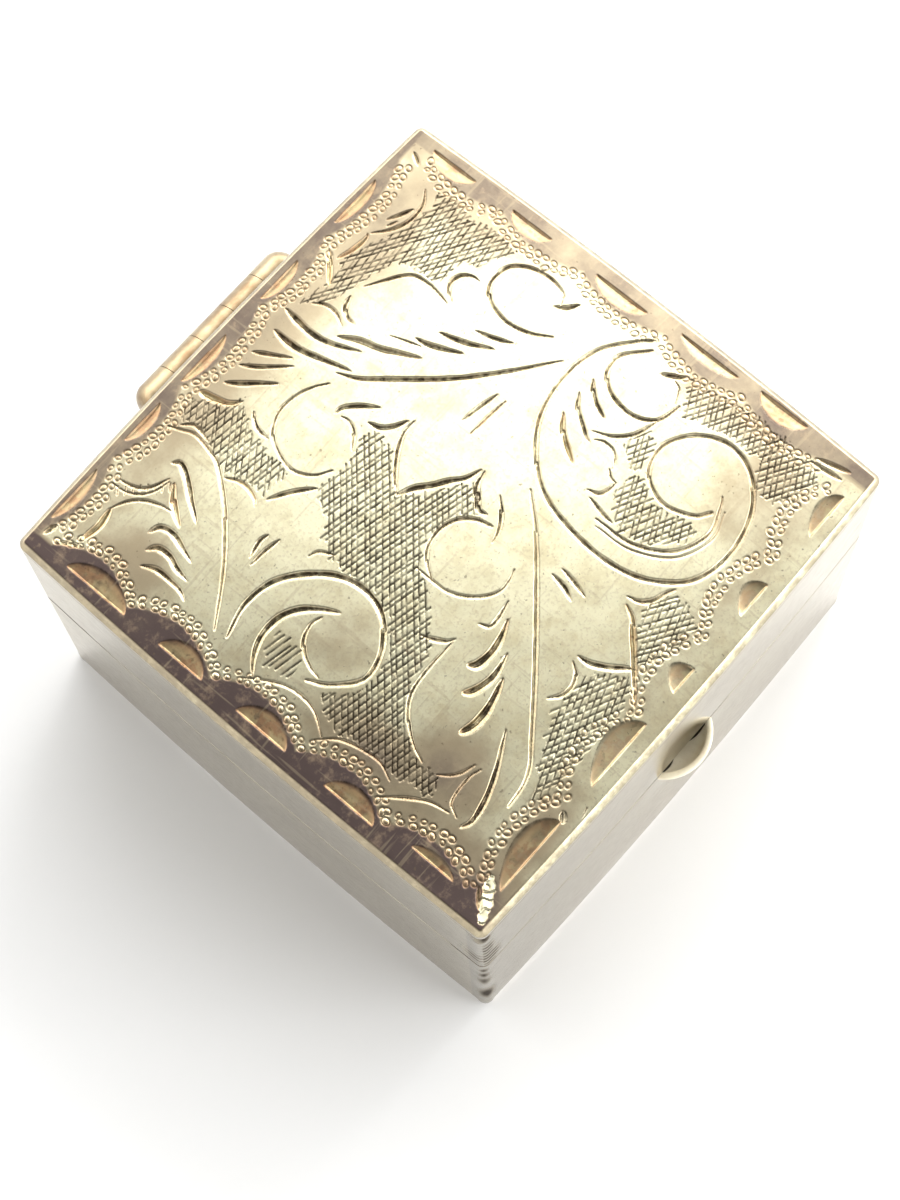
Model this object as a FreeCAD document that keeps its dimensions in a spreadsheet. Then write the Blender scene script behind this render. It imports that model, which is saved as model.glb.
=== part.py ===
import FreeCAD, Part
import math
import os
import Sketcher

# A small square silver pill box: a base and a hinged, domed lid of the same plan.
# Millimetres, +Z up. The origin is the centre of the box's plan on the resting face.
# The thumb cup is on the front (-Y) and the hinge is on the back (+Y).

DIMENSIONS = {
    # Plan: four slightly bowed sides with rounded corners
    "side_half_middle": 13.0,
    "side_half_corner": 12.75,
    "corner_radius": 0.35,
    "inner_corner_radius": 0.3,
    "base_inner_half": 12.25,
    "lid_inner_half": 12.35,
    # Heights
    "floor_thickness": 0.6,
    "floor_edge_radius": 0.2,
    "seam_height": 9.3,
    "seam_gap": 0.08,
    "edge_height": 16.0,
    "plate_thickness": 0.6,
    "dome_rise": 0.7,
    "dome_half_span": 13.2,
    "bevel_size": 0.28,
    # Bezel strips inside the base, which centre the lid
    "bezel_thickness": 0.4,
    "bezel_half_length": 11.4,
    "bezel_bottom": 5.2,
    "bezel_rise": 1.1,
    "bezel_side_back_end": 8.4,
    "bezel_chamfer": 0.15,
    "bezel_end_chamfer": 0.9,
    # Thumb cup and the nail notch behind it
    "cup_centre_across": 0.15,
    "cup_centre_inset": 1.2,
    "cup_radius": 2.16,
    "cup_wall": 0.3,
    "cup_rim_rounding": 0.12,
    "cup_rim_drop": 0.1,
    "notch_width": 3.2,
    "notch_depth": 1.0,
    # Hinge
    "barrel_radius": 1.5,
    "barrel_clearance": 0.1,
    "barrel_centre_across": 1.25,
    "barrel_length": 9.8,
    "barrel_end_rounding": 0.75,
    "knuckle_gap": 0.03,
    "knuckle_foot_reach": 1.2,
    "knuckle_foot_relief": 0.15,
    "pin_radius": 0.65,
    "pin_running_clearance": 0.03,
    "pin_end_rounding": 0.25,
    "pin_end_proud": 0.1,
}
KNUCKLES = ["base_knuckle_left", "lid_knuckle_left", "base_knuckle_middle",
            "lid_knuckle_right", "base_knuckle_right"]

doc = FreeCAD.newDocument("PillBox")
sheet = doc.addObject("Spreadsheet::Sheet", "Dims")
for row, (alias, number) in enumerate(DIMENSIONS.items(), start=1):
    sheet.set("A%d" % row, alias)
    sheet.set("B%d" % row, str(number))
    sheet.setAlias("B%d" % row, alias)
doc.recompute()


def value(alias):
    return float(sheet.get(alias))


def cell(alias):
    return "Dims." + alias


# Derived lengths, as expressions of the sheet's cells
BOW = "(Dims.side_half_middle - Dims.side_half_corner)"
BOW_RADIUS = "(Dims.side_half_corner ^ 2 + %s ^ 2) / (2 * %s)" % (BOW, BOW)
LID_BOTTOM = "Dims.seam_height + Dims.seam_gap"
PLATE_BOTTOM = "Dims.edge_height - Dims.plate_thickness"
AXIS_HEIGHT = "Dims.seam_height + Dims.seam_gap / 2"
AXIS_BACK = "Dims.side_half_middle + Dims.barrel_clearance + Dims.barrel_radius"
KNUCKLE_LENGTH = ("(Dims.barrel_length - %d * Dims.knuckle_gap) / %d"
                  % (len(KNUCKLES) - 1, len(KNUCKLES)))

ORIGIN_POINT = (-1, 1)
START, END, CENTRE = 1, 2, 3


# ---------- sketches and shared steps ----------

def new_body(label):
    body = doc.addObject("PartDesign::Body", label)
    body.Label = label
    return body


def new_sketch(body, name, plane, **offsets):
    """A sketch on one of the body's origin planes; offsets binds its attachment offset."""
    sketch = body.newObject("Sketcher::SketchObject", name)
    features = body.Origin.OriginFeatures
    face = [feature for feature in features if feature.Role == plane][0]
    sketch.AttachmentSupport = [(face, "")]
    sketch.MapMode = "FlatFace"
    for direction, expression in offsets.items():
        sketch.setExpression("AttachmentOffset.Base." + direction, expression)
    return sketch


def bind(sketch, name, expression):
    """Name the last constraint and tie it to the sheet."""
    index = sketch.ConstraintCount - 1
    sketch.renameConstraint(index, name)
    sketch.setExpression("Constraints." + name, expression)


def draw_bowed_square(sketch):
    """Four outward-bowed sides that meet at the corners of a square."""
    corner = value("side_half_corner")
    bow = value("side_half_middle") - corner
    radius = (corner ** 2 + bow ** 2) / (2 * bow)
    half_angle = math.asin(corner / radius)
    reach = radius - value("side_half_middle")
    for side in range(4):
        facing = -math.pi / 2 + side * math.pi / 2
        centre = FreeCAD.Vector(-reach * math.cos(facing), -reach * math.sin(facing), 0)
        circle = Part.Circle(centre, FreeCAD.Vector(0, 0, 1), radius)
        sketch.addGeometry(Part.ArcOfCircle(circle, facing - half_angle, facing + half_angle))
    for side in range(4):
        sketch.addConstraint(Sketcher.Constraint("Coincident", side, END, (side + 1) % 4, START))
    for side in range(4):
        sketch.addConstraint(Sketcher.Constraint("Radius", side, radius))
        bind(sketch, "bow_radius_%d" % side, BOW_RADIUS)
    corners = [(-1, -1), (1, -1), (1, 1), (-1, 1)]
    for side, (sign_x, sign_y) in enumerate(corners):
        for axis_name, sign in (("DistanceX", sign_x), ("DistanceY", sign_y)):
            ends = (side, START) + ORIGIN_POINT if sign < 0 else ORIGIN_POINT + (side, START)
            sketch.addConstraint(Sketcher.Constraint(axis_name, *ends, corner))
            bind(sketch, "corner_%s_%d" % (axis_name[-1], side), cell("side_half_corner"))


def draw_rectangle(sketch, width, depth):
    """A rectangle centred on the sketch's origin; width and depth are expressions."""
    start = value("side_half_middle")
    corners = [FreeCAD.Vector(-start, -start, 0), FreeCAD.Vector(start, -start, 0),
               FreeCAD.Vector(start, start, 0), FreeCAD.Vector(-start, start, 0)]
    for index in range(4):
        sketch.addGeometry(Part.LineSegment(corners[index], corners[(index + 1) % 4]))
    for index in range(4):
        sketch.addConstraint(Sketcher.Constraint("Coincident", index, END, (index + 1) % 4, START))
        direction = "Horizontal" if index % 2 == 0 else "Vertical"
        sketch.addConstraint(Sketcher.Constraint(direction, index))
    sketch.addConstraint(Sketcher.Constraint("Symmetric", 0, START, 2, START, *ORIGIN_POINT))
    sketch.addConstraint(Sketcher.Constraint("DistanceX", 0, START, 0, END, 2 * start))
    bind(sketch, "width", width)
    sketch.addConstraint(Sketcher.Constraint("DistanceY", 1, START, 1, END, 2 * start))
    bind(sketch, "depth", depth)


def add_pad(body, sketch, length):
    pad = body.newObject("PartDesign::Pad", sketch.Name + "_pad")
    pad.Profile = sketch
    pad.setExpression("Length", length)
    sketch.Visibility = False
    doc.recompute()
    return pad


def add_through_pocket(body, sketch):
    """Cut upwards from the sketch through everything above it."""
    before = body.Shape.Volume
    pocket = body.newObject("PartDesign::Pocket", sketch.Name + "_pocket")
    pocket.Profile = sketch
    pocket.Type = "ThroughAll"
    pocket.Reversed = True
    doc.recompute()
    if pocket.Shape.Volume > before - 1e-3:
        raise RuntimeError(pocket.Name + " cuts nothing")
    return pocket


def chosen_edges(shape, test):
    return ["Edge%d" % number for number, edge in enumerate(shape.Edges, start=1) if test(edge)]


def is_upright(edge, half):
    """True for a vertical edge at the corners of a square of this half width."""
    first = edge.Vertexes[0].Point
    last = edge.Vertexes[-1].Point
    if abs(first.z - last.z) < 0.1 or abs(first.x - last.x) > 1e-4 or abs(first.y - last.y) > 1e-4:
        return False
    return abs(abs(first.x) - half) < 1e-3 and abs(abs(first.y) - half) < 1e-3


def add_dressup(body, kind, name, base, edges, size_property, size):
    """A PartDesign Fillet or Chamfer on the named edges of the base feature."""
    if not edges:
        raise RuntimeError(name + " finds no edge")
    feature = body.newObject("PartDesign::" + kind, name)
    feature.Base = (base, edges)
    feature.setExpression(size_property, size)
    doc.recompute()
    return feature


def round_corners(body, base, half_alias, radius_alias, name):
    edges = chosen_edges(base.Shape, lambda edge: is_upright(edge, value(half_alias)))
    return add_dressup(body, "Fillet", name, base, edges, "Radius", cell(radius_alias))


def outline_block(label, height, **offsets):
    """A block with the box's outer plan; its last feature is the one with the rounded corners."""
    body = new_body(label)
    sketch = new_sketch(body, label + "_outline", "XY_Plane", **offsets)
    draw_bowed_square(sketch)
    pad = add_pad(body, sketch, height)
    round_corners(body, pad, "side_half_corner", "corner_radius", label + "_corners")
    return body


def rectangular_block(label, width, depth, height, **offsets):
    """An upright block centred on its sketch; every size and offset is an expression."""
    body = new_body(label)
    sketch = new_sketch(body, label + "_outline", "XY_Plane", **offsets)
    draw_rectangle(sketch, width, depth)
    add_pad(body, sketch, height)
    return body


def boolean(kind, label, base, tool):
    result = doc.addObject("Part::" + kind, label)
    result.Base = base
    result.Tool = tool
    result.Label = label
    doc.recompute()
    return result


def cylinder_along(label, direction, radius, length, x, y, z):
    """A Part cylinder whose axis starts at (x, y, z) and runs along +X or +Y."""
    cylinder = doc.addObject("Part::Cylinder", label)
    turn = {"x": FreeCAD.Rotation(FreeCAD.Vector(0, 1, 0), 90),
            "y": FreeCAD.Rotation(FreeCAD.Vector(1, 0, 0), -90)}[direction]
    cylinder.Placement = FreeCAD.Placement(FreeCAD.Vector(0, 0, 0), turn)
    cylinder.setExpression("Radius", radius)
    cylinder.setExpression("Height", length)
    cylinder.setExpression("Placement.Base.x", x)
    cylinder.setExpression("Placement.Base.y", y)
    cylinder.setExpression("Placement.Base.z", z)
    return cylinder


# ---------- walls and floor ----------

def wall_band(label, bottom, height, inner_alias):
    """A strip bent into the box's square: outer plan outside, straight faces inside."""
    body = outline_block(label, height, z=bottom)
    sketch = new_sketch(body, label + "_inside", "XY_Plane", z=bottom)
    inner_width = "2 * " + cell(inner_alias)
    draw_rectangle(sketch, inner_width, inner_width)
    pocket = add_through_pocket(body, sketch)
    round_corners(body, pocket, inner_alias, "inner_corner_radius", label + "_inner_corners")
    return body


def base_floor_plate():
    body = outline_block("base_floor_plate", cell("floor_thickness"))
    edges = chosen_edges(body.Shape, lambda edge: edge.BoundBox.ZMax < 1e-6)
    add_dressup(body, "Fillet", "floor_edge", body.Tip, edges, "Radius", cell("floor_edge_radius"))
    return body


def base_wall_band():
    height = "Dims.seam_height - Dims.floor_thickness"
    band = wall_band("base_band_blank", cell("floor_thickness"), height, "base_inner_half")
    radius = "((Dims.notch_width / 2) ^ 2 + Dims.notch_depth ^ 2) / (2 * Dims.notch_depth)"
    notch = cylinder_along("nail_notch", "y", radius, "2 * Dims.side_half_middle - Dims.base_inner_half",
                           cell("cup_centre_across"), "-2 * Dims.side_half_middle",
                           "Dims.seam_height - Dims.notch_depth + " + radius)
    return boolean("Cut", "base_wall_band", band, notch)


def lid_wall_band():
    height = "%s - (%s)" % (PLATE_BOTTOM, LID_BOTTOM)
    return wall_band("lid_wall_band", LID_BOTTOM, height, "lid_inner_half")


# ---------- domed top plate ----------

def dome_solid(label, lift):
    """Everything below a pillow-shaped dome that is level along the four sides."""
    span = value("dome_half_span")
    level = value("edge_height") + lift
    # The middle pole of a biquadratic patch lifts its centre by a quarter of the pole's own rise
    crown = level + 4 * value("dome_rise")
    surface = Part.BezierSurface()
    surface.increase(2, 2)
    for column in range(3):
        for line in range(3):
            is_centre = column == 1 and line == 1
            pole = FreeCAD.Vector((column - 1) * span, (line - 1) * span, crown if is_centre else level)
            surface.setPole(column + 1, line + 1, pole)
    below_plate = value("edge_height") - 3 * value("plate_thickness")
    solid = surface.toShape().extrude(FreeCAD.Vector(0, 0, below_plate - level))
    feature = doc.addObject("Part::Feature", label)
    feature.Shape = solid
    return feature


def lid_top_plate():
    blank = outline_block("plate_blank", "Dims.plate_thickness + 2 * Dims.dome_rise", z=PLATE_BOTTOM)
    shaped = boolean("Common", "plate_shaped", blank, dome_solid("dome_top", 0))
    rim = chosen_edges(shaped.Shape, lambda edge: edge.BoundBox.ZMin > value("edge_height") - 1e-3)
    bevelled = doc.addObject("Part::Chamfer", "plate_bevelled")
    bevelled.Base = shaped
    size = value("bevel_size")
    bevelled.Edges = [(int(name[4:]), size, size) for name in rim]
    doc.recompute()
    inside = rectangular_block("plate_inside", "2 * Dims.lid_inner_half", "2 * Dims.lid_inner_half",
                               "2 * Dims.plate_thickness + 2 * Dims.dome_rise",
                               z=PLATE_BOTTOM + " - Dims.plate_thickness")
    hollow = boolean("Common", "plate_hollow", inside, dome_solid("dome_underside", -value("plate_thickness")))
    return boolean("Cut", "lid_top_plate", bevelled, hollow)


# ---------- bezel strips ----------

def top_outer_edge(edge, axis, outer):
    """True for the upper horizontal edge on the strip's outer face."""
    box = edge.BoundBox
    low = getattr(box, axis + "Min")
    high = getattr(box, axis + "Max")
    top = value("seam_height") + value("bezel_rise")
    return abs(low - outer) < 1e-4 and abs(high - outer) < 1e-4 and box.ZMin > top - 1e-4


def bezel_strip_front():
    height = "Dims.seam_height + Dims.bezel_rise - Dims.bezel_bottom"
    label = "bezel_strip_front"
    body = rectangular_block(label, "2 * Dims.bezel_half_length", cell("bezel_thickness"), height,
                             y="Dims.bezel_thickness / 2 - Dims.base_inner_half", z=cell("bezel_bottom"))
    edges = chosen_edges(body.Shape, lambda edge: top_outer_edge(edge, "Y", -value("base_inner_half")))
    add_dressup(body, "Chamfer", label + "_lead", body.Tip, edges, "Size", cell("bezel_chamfer"))
    return body


def bezel_strip_side(label, sign):
    """A strip on the left (-1) or right (+1) wall, with its back corner taken off."""
    height = "Dims.seam_height + Dims.bezel_rise - Dims.bezel_bottom"
    across = "%d * (Dims.base_inner_half - Dims.bezel_thickness / 2)" % sign
    length = "Dims.bezel_side_back_end + Dims.bezel_half_length"
    body = rectangular_block(label, cell("bezel_thickness"), length, height, x=across,
                             y="(Dims.bezel_side_back_end - Dims.bezel_half_length) / 2",
                             z=cell("bezel_bottom"))
    outer = sign * value("base_inner_half")
    lead_edges = chosen_edges(body.Shape, lambda edge: top_outer_edge(edge, "X", outer))
    lead = add_dressup(body, "Chamfer", label + "_lead", body.Tip, lead_edges, "Size", cell("bezel_chamfer"))
    back = value("bezel_side_back_end")
    end_edges = chosen_edges(lead.Shape, lambda edge: edge.BoundBox.YMin > back - 1e-4
                             and edge.BoundBox.ZMin > value("seam_height") + value("bezel_rise") - 1e-4)
    add_dressup(body, "Chamfer", label + "_end", lead, end_edges, "Size", cell("bezel_end_chamfer"))
    return body


# ---------- thumb cup ----------

def thumb_cup(wall_prism):
    """A half-bowl, open at the top, standing out of the front wall."""
    body = new_body("cup_bowl")
    sketch = new_sketch(body, "cup_section", "XZ_Plane")
    outer = value("cup_radius")
    inner = outer - value("cup_wall")
    up = FreeCAD.Vector(0, 0, 1)
    middle = FreeCAD.Vector(0, 0, 0)
    sketch.addGeometry(Part.ArcOfCircle(Part.Circle(middle, up, outer), -math.pi / 2, 0))
    sketch.addGeometry(Part.LineSegment(FreeCAD.Vector(outer, 0, 0), FreeCAD.Vector(inner, 0, 0)))
    sketch.addGeometry(Part.ArcOfCircle(Part.Circle(middle, up, inner), -math.pi / 2, 0))
    sketch.addGeometry(Part.LineSegment(FreeCAD.Vector(0, -inner, 0), FreeCAD.Vector(0, -outer, 0)))
    for first, first_end, second, second_end in ((0, END, 1, START), (1, END, 2, END),
                                                 (2, START, 3, START), (3, END, 0, START)):
        sketch.addConstraint(Sketcher.Constraint("Coincident", first, first_end, second, second_end))
    sketch.addConstraint(Sketcher.Constraint("Coincident", 0, CENTRE, *ORIGIN_POINT))
    sketch.addConstraint(Sketcher.Constraint("Coincident", 2, CENTRE, *ORIGIN_POINT))
    sketch.addConstraint(Sketcher.Constraint("Horizontal", 1))
    sketch.addConstraint(Sketcher.Constraint("PointOnObject", 1, START, -1))
    sketch.addConstraint(Sketcher.Constraint("PointOnObject", 3, START, -2))
    sketch.addConstraint(Sketcher.Constraint("PointOnObject", 3, END, -2))
    sketch.addConstraint(Sketcher.Constraint("Radius", 0, outer))
    bind(sketch, "outside", cell("cup_radius"))
    sketch.addConstraint(Sketcher.Constraint("Radius", 2, inner))
    bind(sketch, "inside", "Dims.cup_radius - Dims.cup_wall")
    bowl = body.newObject("PartDesign::Revolution", "cup_revolution")
    bowl.Profile = sketch
    bowl.ReferenceAxis = (sketch, ["V_Axis"])
    bowl.Angle = 360
    doc.recompute()
    rim = chosen_edges(bowl.Shape, lambda edge: edge.BoundBox.ZMin > -1e-6)
    add_dressup(body, "Fillet", "cup_rim", bowl, rim, "Radius", cell("cup_rim_rounding"))
    body.setExpression("Placement.Base.x", cell("cup_centre_across"))
    body.setExpression("Placement.Base.y", "Dims.cup_centre_inset - Dims.side_half_middle")
    body.setExpression("Placement.Base.z", "Dims.seam_height - Dims.cup_rim_drop")
    return boolean("Cut", "thumb_cup", body, wall_prism)


# ---------- hinge ----------

def knuckle(label, position, wall_prism):
    """One hinge tube with the solder foot that joins it to the wall of its own half."""
    on_base = label.startswith("base")
    start = ("Dims.barrel_centre_across - Dims.barrel_length / 2 + %d * (%s + Dims.knuckle_gap)"
             % (position, KNUCKLE_LENGTH))
    tube = cylinder_along(label + "_tube", "x", cell("barrel_radius"), KNUCKLE_LENGTH,
                          start, AXIS_BACK, AXIS_HEIGHT)
    doc.recompute()
    is_left_end = position == 0
    is_right_end = position == len(KNUCKLES) - 1
    rounded = tube
    if is_left_end or is_right_end:
        box = tube.Shape.BoundBox
        end = box.XMin if is_left_end else box.XMax
        edges = chosen_edges(tube.Shape, lambda edge: abs(edge.BoundBox.XMin - end) < 1e-4
                             and abs(edge.BoundBox.XMax - end) < 1e-4)
        rounded = doc.addObject("Part::Fillet", label + "_rounded")
        rounded.Base = tube
        rounding = value("barrel_end_rounding")
        rounded.Edges = [(int(name[4:]), rounding, rounding) for name in edges]
        doc.recompute()
    foot = doc.addObject("Part::Box", label + "_foot")
    inset = "Dims.barrel_end_rounding"
    foot.setExpression("Length", "%s - %d * %s" % (KNUCKLE_LENGTH, is_left_end or is_right_end, inset))
    foot.setExpression("Width", "Dims.barrel_clearance + 2 * Dims.barrel_radius - Dims.pin_radius")
    foot.setExpression("Height", "Dims.knuckle_foot_reach - Dims.knuckle_foot_relief")
    foot.setExpression("Placement.Base.x", "%s + %d * %s" % (start, is_left_end, inset))
    foot.setExpression("Placement.Base.y", "Dims.side_half_middle - Dims.barrel_radius")
    bottom = "-Dims.knuckle_foot_reach" if on_base else "+Dims.knuckle_foot_relief"
    foot.setExpression("Placement.Base.z", AXIS_HEIGHT + " " + bottom)
    joined = boolean("Fuse", label + "_joined", rounded, foot)
    bore_radius = "Dims.pin_radius" if on_base else "Dims.pin_radius + Dims.pin_running_clearance"
    bore = cylinder_along(label + "_bore", "x", bore_radius, "2 * Dims.barrel_length",
                          "Dims.barrel_centre_across - Dims.barrel_length", AXIS_BACK, AXIS_HEIGHT)
    bored = boolean("Cut", label + "_bored", joined, bore)
    return boolean("Cut", label, bored, wall_prism)


def hinge_pin():
    length = "Dims.barrel_length + 2 * Dims.pin_end_proud"
    start = "Dims.barrel_centre_across - Dims.barrel_length / 2 - Dims.pin_end_proud"
    wire = cylinder_along("pin_wire", "x", cell("pin_radius"), length, start, AXIS_BACK, AXIS_HEIGHT)
    doc.recompute()
    rounding = value("pin_end_rounding")
    circles = chosen_edges(wire.Shape, lambda edge: edge.BoundBox.XLength < 1e-4)
    pin = doc.addObject("Part::Fillet", "hinge_pin")
    pin.Base = wire
    pin.Edges = [(int(name[4:]), rounding, rounding) for name in circles]
    pin.Label = "hinge_pin"
    doc.recompute()
    return pin


# ---------- the whole box ----------

wall_prism = outline_block("wall_prism", cell("edge_height"))
parts = [base_floor_plate(), base_wall_band(), bezel_strip_front(),
         bezel_strip_side("bezel_strip_left", -1), bezel_strip_side("bezel_strip_right", 1),
         thumb_cup(wall_prism), hinge_pin(), lid_top_plate(), lid_wall_band()]
for position, label in enumerate(KNUCKLES):
    parts.append(knuckle(label, position, wall_prism))
doc.recompute()

for item in doc.Objects:
    if "Invalid" in item.State or "Error" in item.State:
        raise RuntimeError("%s failed: %s" % (item.Name, item.State))
for part in parts:
    if part.Shape.isNull() or not part.Shape.isValid() or len(part.Shape.Solids) != 1:
        raise RuntimeError(part.Label + " has no single valid solid")

os.makedirs("parts", exist_ok=True)
for part in parts:
    part.Shape.exportStep(os.path.join("parts", part.Label + ".step"))
    print("%-22s %9.2f mm3" % (part.Label, part.Shape.Volume))
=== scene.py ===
import math

import bmesh
import bpy
import numpy as np
from mathutils import Matrix, Vector


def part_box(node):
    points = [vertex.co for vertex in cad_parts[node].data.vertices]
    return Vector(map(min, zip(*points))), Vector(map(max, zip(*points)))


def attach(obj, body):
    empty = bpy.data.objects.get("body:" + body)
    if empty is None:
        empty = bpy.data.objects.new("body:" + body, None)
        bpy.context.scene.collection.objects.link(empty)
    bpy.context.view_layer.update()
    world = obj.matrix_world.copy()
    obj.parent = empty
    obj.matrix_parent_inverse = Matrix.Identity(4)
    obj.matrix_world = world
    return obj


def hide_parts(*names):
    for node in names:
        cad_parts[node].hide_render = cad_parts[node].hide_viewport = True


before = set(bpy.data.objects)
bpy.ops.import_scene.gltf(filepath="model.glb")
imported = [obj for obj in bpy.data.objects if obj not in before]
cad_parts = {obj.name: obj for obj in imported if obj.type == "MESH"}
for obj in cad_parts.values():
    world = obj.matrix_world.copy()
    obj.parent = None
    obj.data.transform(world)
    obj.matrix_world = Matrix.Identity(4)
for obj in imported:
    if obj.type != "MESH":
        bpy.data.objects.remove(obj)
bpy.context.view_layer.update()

MM = 0.001


def box_mm(node):
    """Lowest and highest corner of a CAD node, in mm."""
    low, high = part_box(node)
    return np.array(low) / MM, np.array(high) / MM


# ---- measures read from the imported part, in mm
plate_high = box_mm("lid_top_plate")[1]
lid_wall_low, lid_wall_high = box_mm("lid_wall_band")
base_wall_low, base_wall_high = box_mm("base_wall_band")
floor_low, floor_high = box_mm("base_floor_plate")
cup_low, cup_high = box_mm("thumb_cup")
HALF_SIDE = plate_high[0]
CROWN_HEIGHT = plate_high[2]
PLATE_UNDERSIDE = lid_wall_high[2]

# The shape of the box's outline and lid, in mm, as drawn in the CAD
SIDE_BOW = 0.25
CORNER_RADIUS = 0.35
LID_EDGE_HEIGHT = 16.0
DOME_RISE = CROWN_HEIGHT - LID_EDGE_HEIGHT
DOME_REACH = 13.2
PLATE_THICKNESS = 0.6
BEVEL = 0.28
WALL_THICKNESS_BASE = 0.75
WALL_THICKNESS_LID = 0.65
SHARPEST_CORNER = 0.2

draw = np.random.default_rng(7)


# ---- outline and dome
def bowed_square(s, t, inset=0.0):
    """A square grid, s and t from -1 to 1, laid into the box's bowed outline with round corners."""
    half = HALF_SIDE - inset
    x = s * (half - SIDE_BOW * t * t)
    y = t * (half - SIDE_BOW * s * s)
    radius = max(CORNER_RADIUS - inset, SHARPEST_CORNER)
    centre = half - SIDE_BOW - radius
    over_x = np.abs(x) - centre
    over_y = np.abs(y) - centre
    corner = (over_x > 0) & (over_y > 0)
    length = np.hypot(over_x, over_y)
    scale = np.where(corner, np.maximum(over_x, over_y) / np.maximum(length, 1e-9), 1.0)
    x = np.where(corner, np.sign(x) * (centre + over_x * scale), x)
    y = np.where(corner, np.sign(y) * (centre + over_y * scale), y)
    return x, y


def edge_distance(x, y):
    """How far a point lies inside the outline, in mm."""
    from_x = HALF_SIDE - SIDE_BOW * (y / HALF_SIDE) ** 2 - np.abs(x)
    from_y = HALF_SIDE - SIDE_BOW * (x / HALF_SIDE) ** 2 - np.abs(y)
    plain = np.minimum(from_x, from_y)
    corner = (from_x < CORNER_RADIUS) & (from_y < CORNER_RADIUS)
    rounded = CORNER_RADIUS - np.hypot(CORNER_RADIUS - from_x, CORNER_RADIUS - from_y)
    return np.where(corner, rounded, plain)


def dome(x, y):
    """Height of the lid's smooth top, in mm."""
    across = 1 - (x / DOME_REACH) ** 2
    along = 1 - (y / DOME_REACH) ** 2
    return LID_EDGE_HEIGHT + DOME_RISE * across * along


# ---- the engraver's tools, on a grid over the lid
CELLS = 720
line = np.linspace(-1, 1, CELLS + 1)
GRID_S, GRID_T = np.meshgrid(line, line)
X, Y = bowed_square(GRID_S, GRID_T)
cut_depth = np.zeros_like(X)
soot = np.zeros_like(X)
gold = np.zeros_like(X)
bead_height = np.zeros_like(X)
bead_share = np.zeros_like(X)


def keep_larger(field, area, values):
    """Raises part of a field over the lid to new values where they are larger."""
    field[area] = np.maximum(field[area], values)


def smoothstep(low, high, value):
    share = np.clip((value - low) / (high - low), 0, 1)
    return share * share * (3 - 2 * share)


WINDOW_MARGIN = 6
BOW_ROOM = 1.02


def window(low_x, high_x, low_y, high_y):
    """The part of the grid that covers this box in mm, as a pair of slices."""
    step = 2 * HALF_SIDE / CELLS
    bounds = []
    for low, high in ((low_y, high_y), (low_x, high_x)):
        # The bow squeezes the grid inwards, so the outer limit needs more room
        if low < 0:
            low = low * BOW_ROOM
        if high > 0:
            high = high * BOW_ROOM
        first = int((low + HALF_SIDE) / step) - WINDOW_MARGIN
        last = int((high + HALF_SIDE) / step) + WINDOW_MARGIN
        bounds.append(slice(max(first, 0), min(last, CELLS) + 1))
    return tuple(bounds)


LINE_STEP = 0.1


def smooth_line(points):
    """A Catmull-Rom curve through given points, in mm."""
    pts = np.array(points, float)
    ends = np.vstack([2 * pts[0] - pts[1], pts, 2 * pts[-1] - pts[-2]])
    out = []
    for a, b, c, d in zip(ends[:-3], ends[1:-2], ends[2:-1], ends[3:]):
        count = max(2, int(np.linalg.norm(c - b) / LINE_STEP) + 1)
        u = np.linspace(0, 1, count, endpoint=False)[:, None]
        cubic = -a + 3 * b - 3 * c + d
        square = 2 * a - 5 * b + 4 * c - d
        out.append(0.5 * (2 * b + (c - a) * u + square * u**2 + cubic * u**3))
    out.append(pts[-1:])
    return np.vstack(out)


VALLEY_LEAN = 0.5
THINNEST_HALF = 0.035


def cut(points, width, depth=None, swell=0.5, end=0.25, colour=0.55, dark=1.0):
    """One bright-cut groove, widest at the share swell of its length, with its valley off centre."""
    path = smooth_line(points)
    if depth is None:
        depth = 0.03 + 0.33 * width
    lengths = np.hypot(*np.diff(path, axis=0).T)
    share = np.concatenate([[0], np.cumsum(lengths)])
    share = share / share[-1]
    rising = np.clip(share / swell, 0, 1)
    falling = np.clip((1 - share) / (1 - swell), 0, 1)
    body = np.sin(np.minimum(rising, falling) * math.pi / 2) ** 0.6
    chatter = 1 + 0.05 * np.sin(share * lengths.sum() * 5 + draw.uniform(0, 6))
    half = np.maximum((end + (1 - end) * body) * width / 2 * chatter, THINNEST_HALF)
    for i in range(len(path) - 1):
        a, b = path[i], path[i + 1]
        reach = max(half[i], half[i + 1])
        low, high = np.minimum(a, b) - reach, np.maximum(a, b) + reach
        area = window(low[0], high[0], low[1], high[1])
        px, py = X[area] - a[0], Y[area] - a[1]
        ex, ey = b - a
        size = math.hypot(ex, ey)
        if size < 1e-6:
            continue
        along = np.clip((px * ex + py * ey) / size**2, 0, 1)
        away = np.hypot(px - ex * along, py - ey * along)
        side = np.sign(ex * py - ey * px)
        # The steep, dark side is the one towards the back right of the lid
        steep = 1.0 if (ex - ey) >= 0 else -1.0
        here = half[i] + (half[i + 1] - half[i]) * along
        v = side * away / here
        w = v * steep
        profile = np.where(w < VALLEY_LEAN, (w + 1) / (1 + VALLEY_LEAN), (1 - w) / (1 - VALLEY_LEAN))
        profile = np.clip(profile, 0, 1)
        keep_larger(cut_depth, area, profile * depth * here / (width / 2))
        steep_side = smoothstep(VALLEY_LEAN - 0.3, VALLEY_LEAN + 0.05, w) * smoothstep(1.0, 0.8, w)
        gentle_rim = 0.6 * smoothstep(0.85, 1.0, -w) * (np.abs(v) < 1)
        valley = np.maximum(steep_side, gentle_rim) * (profile > 0)
        keep_larger(soot, area, valley * dark)
        keep_larger(gold, area, np.clip(profile * 4, 0, 1) * colour)


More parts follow.
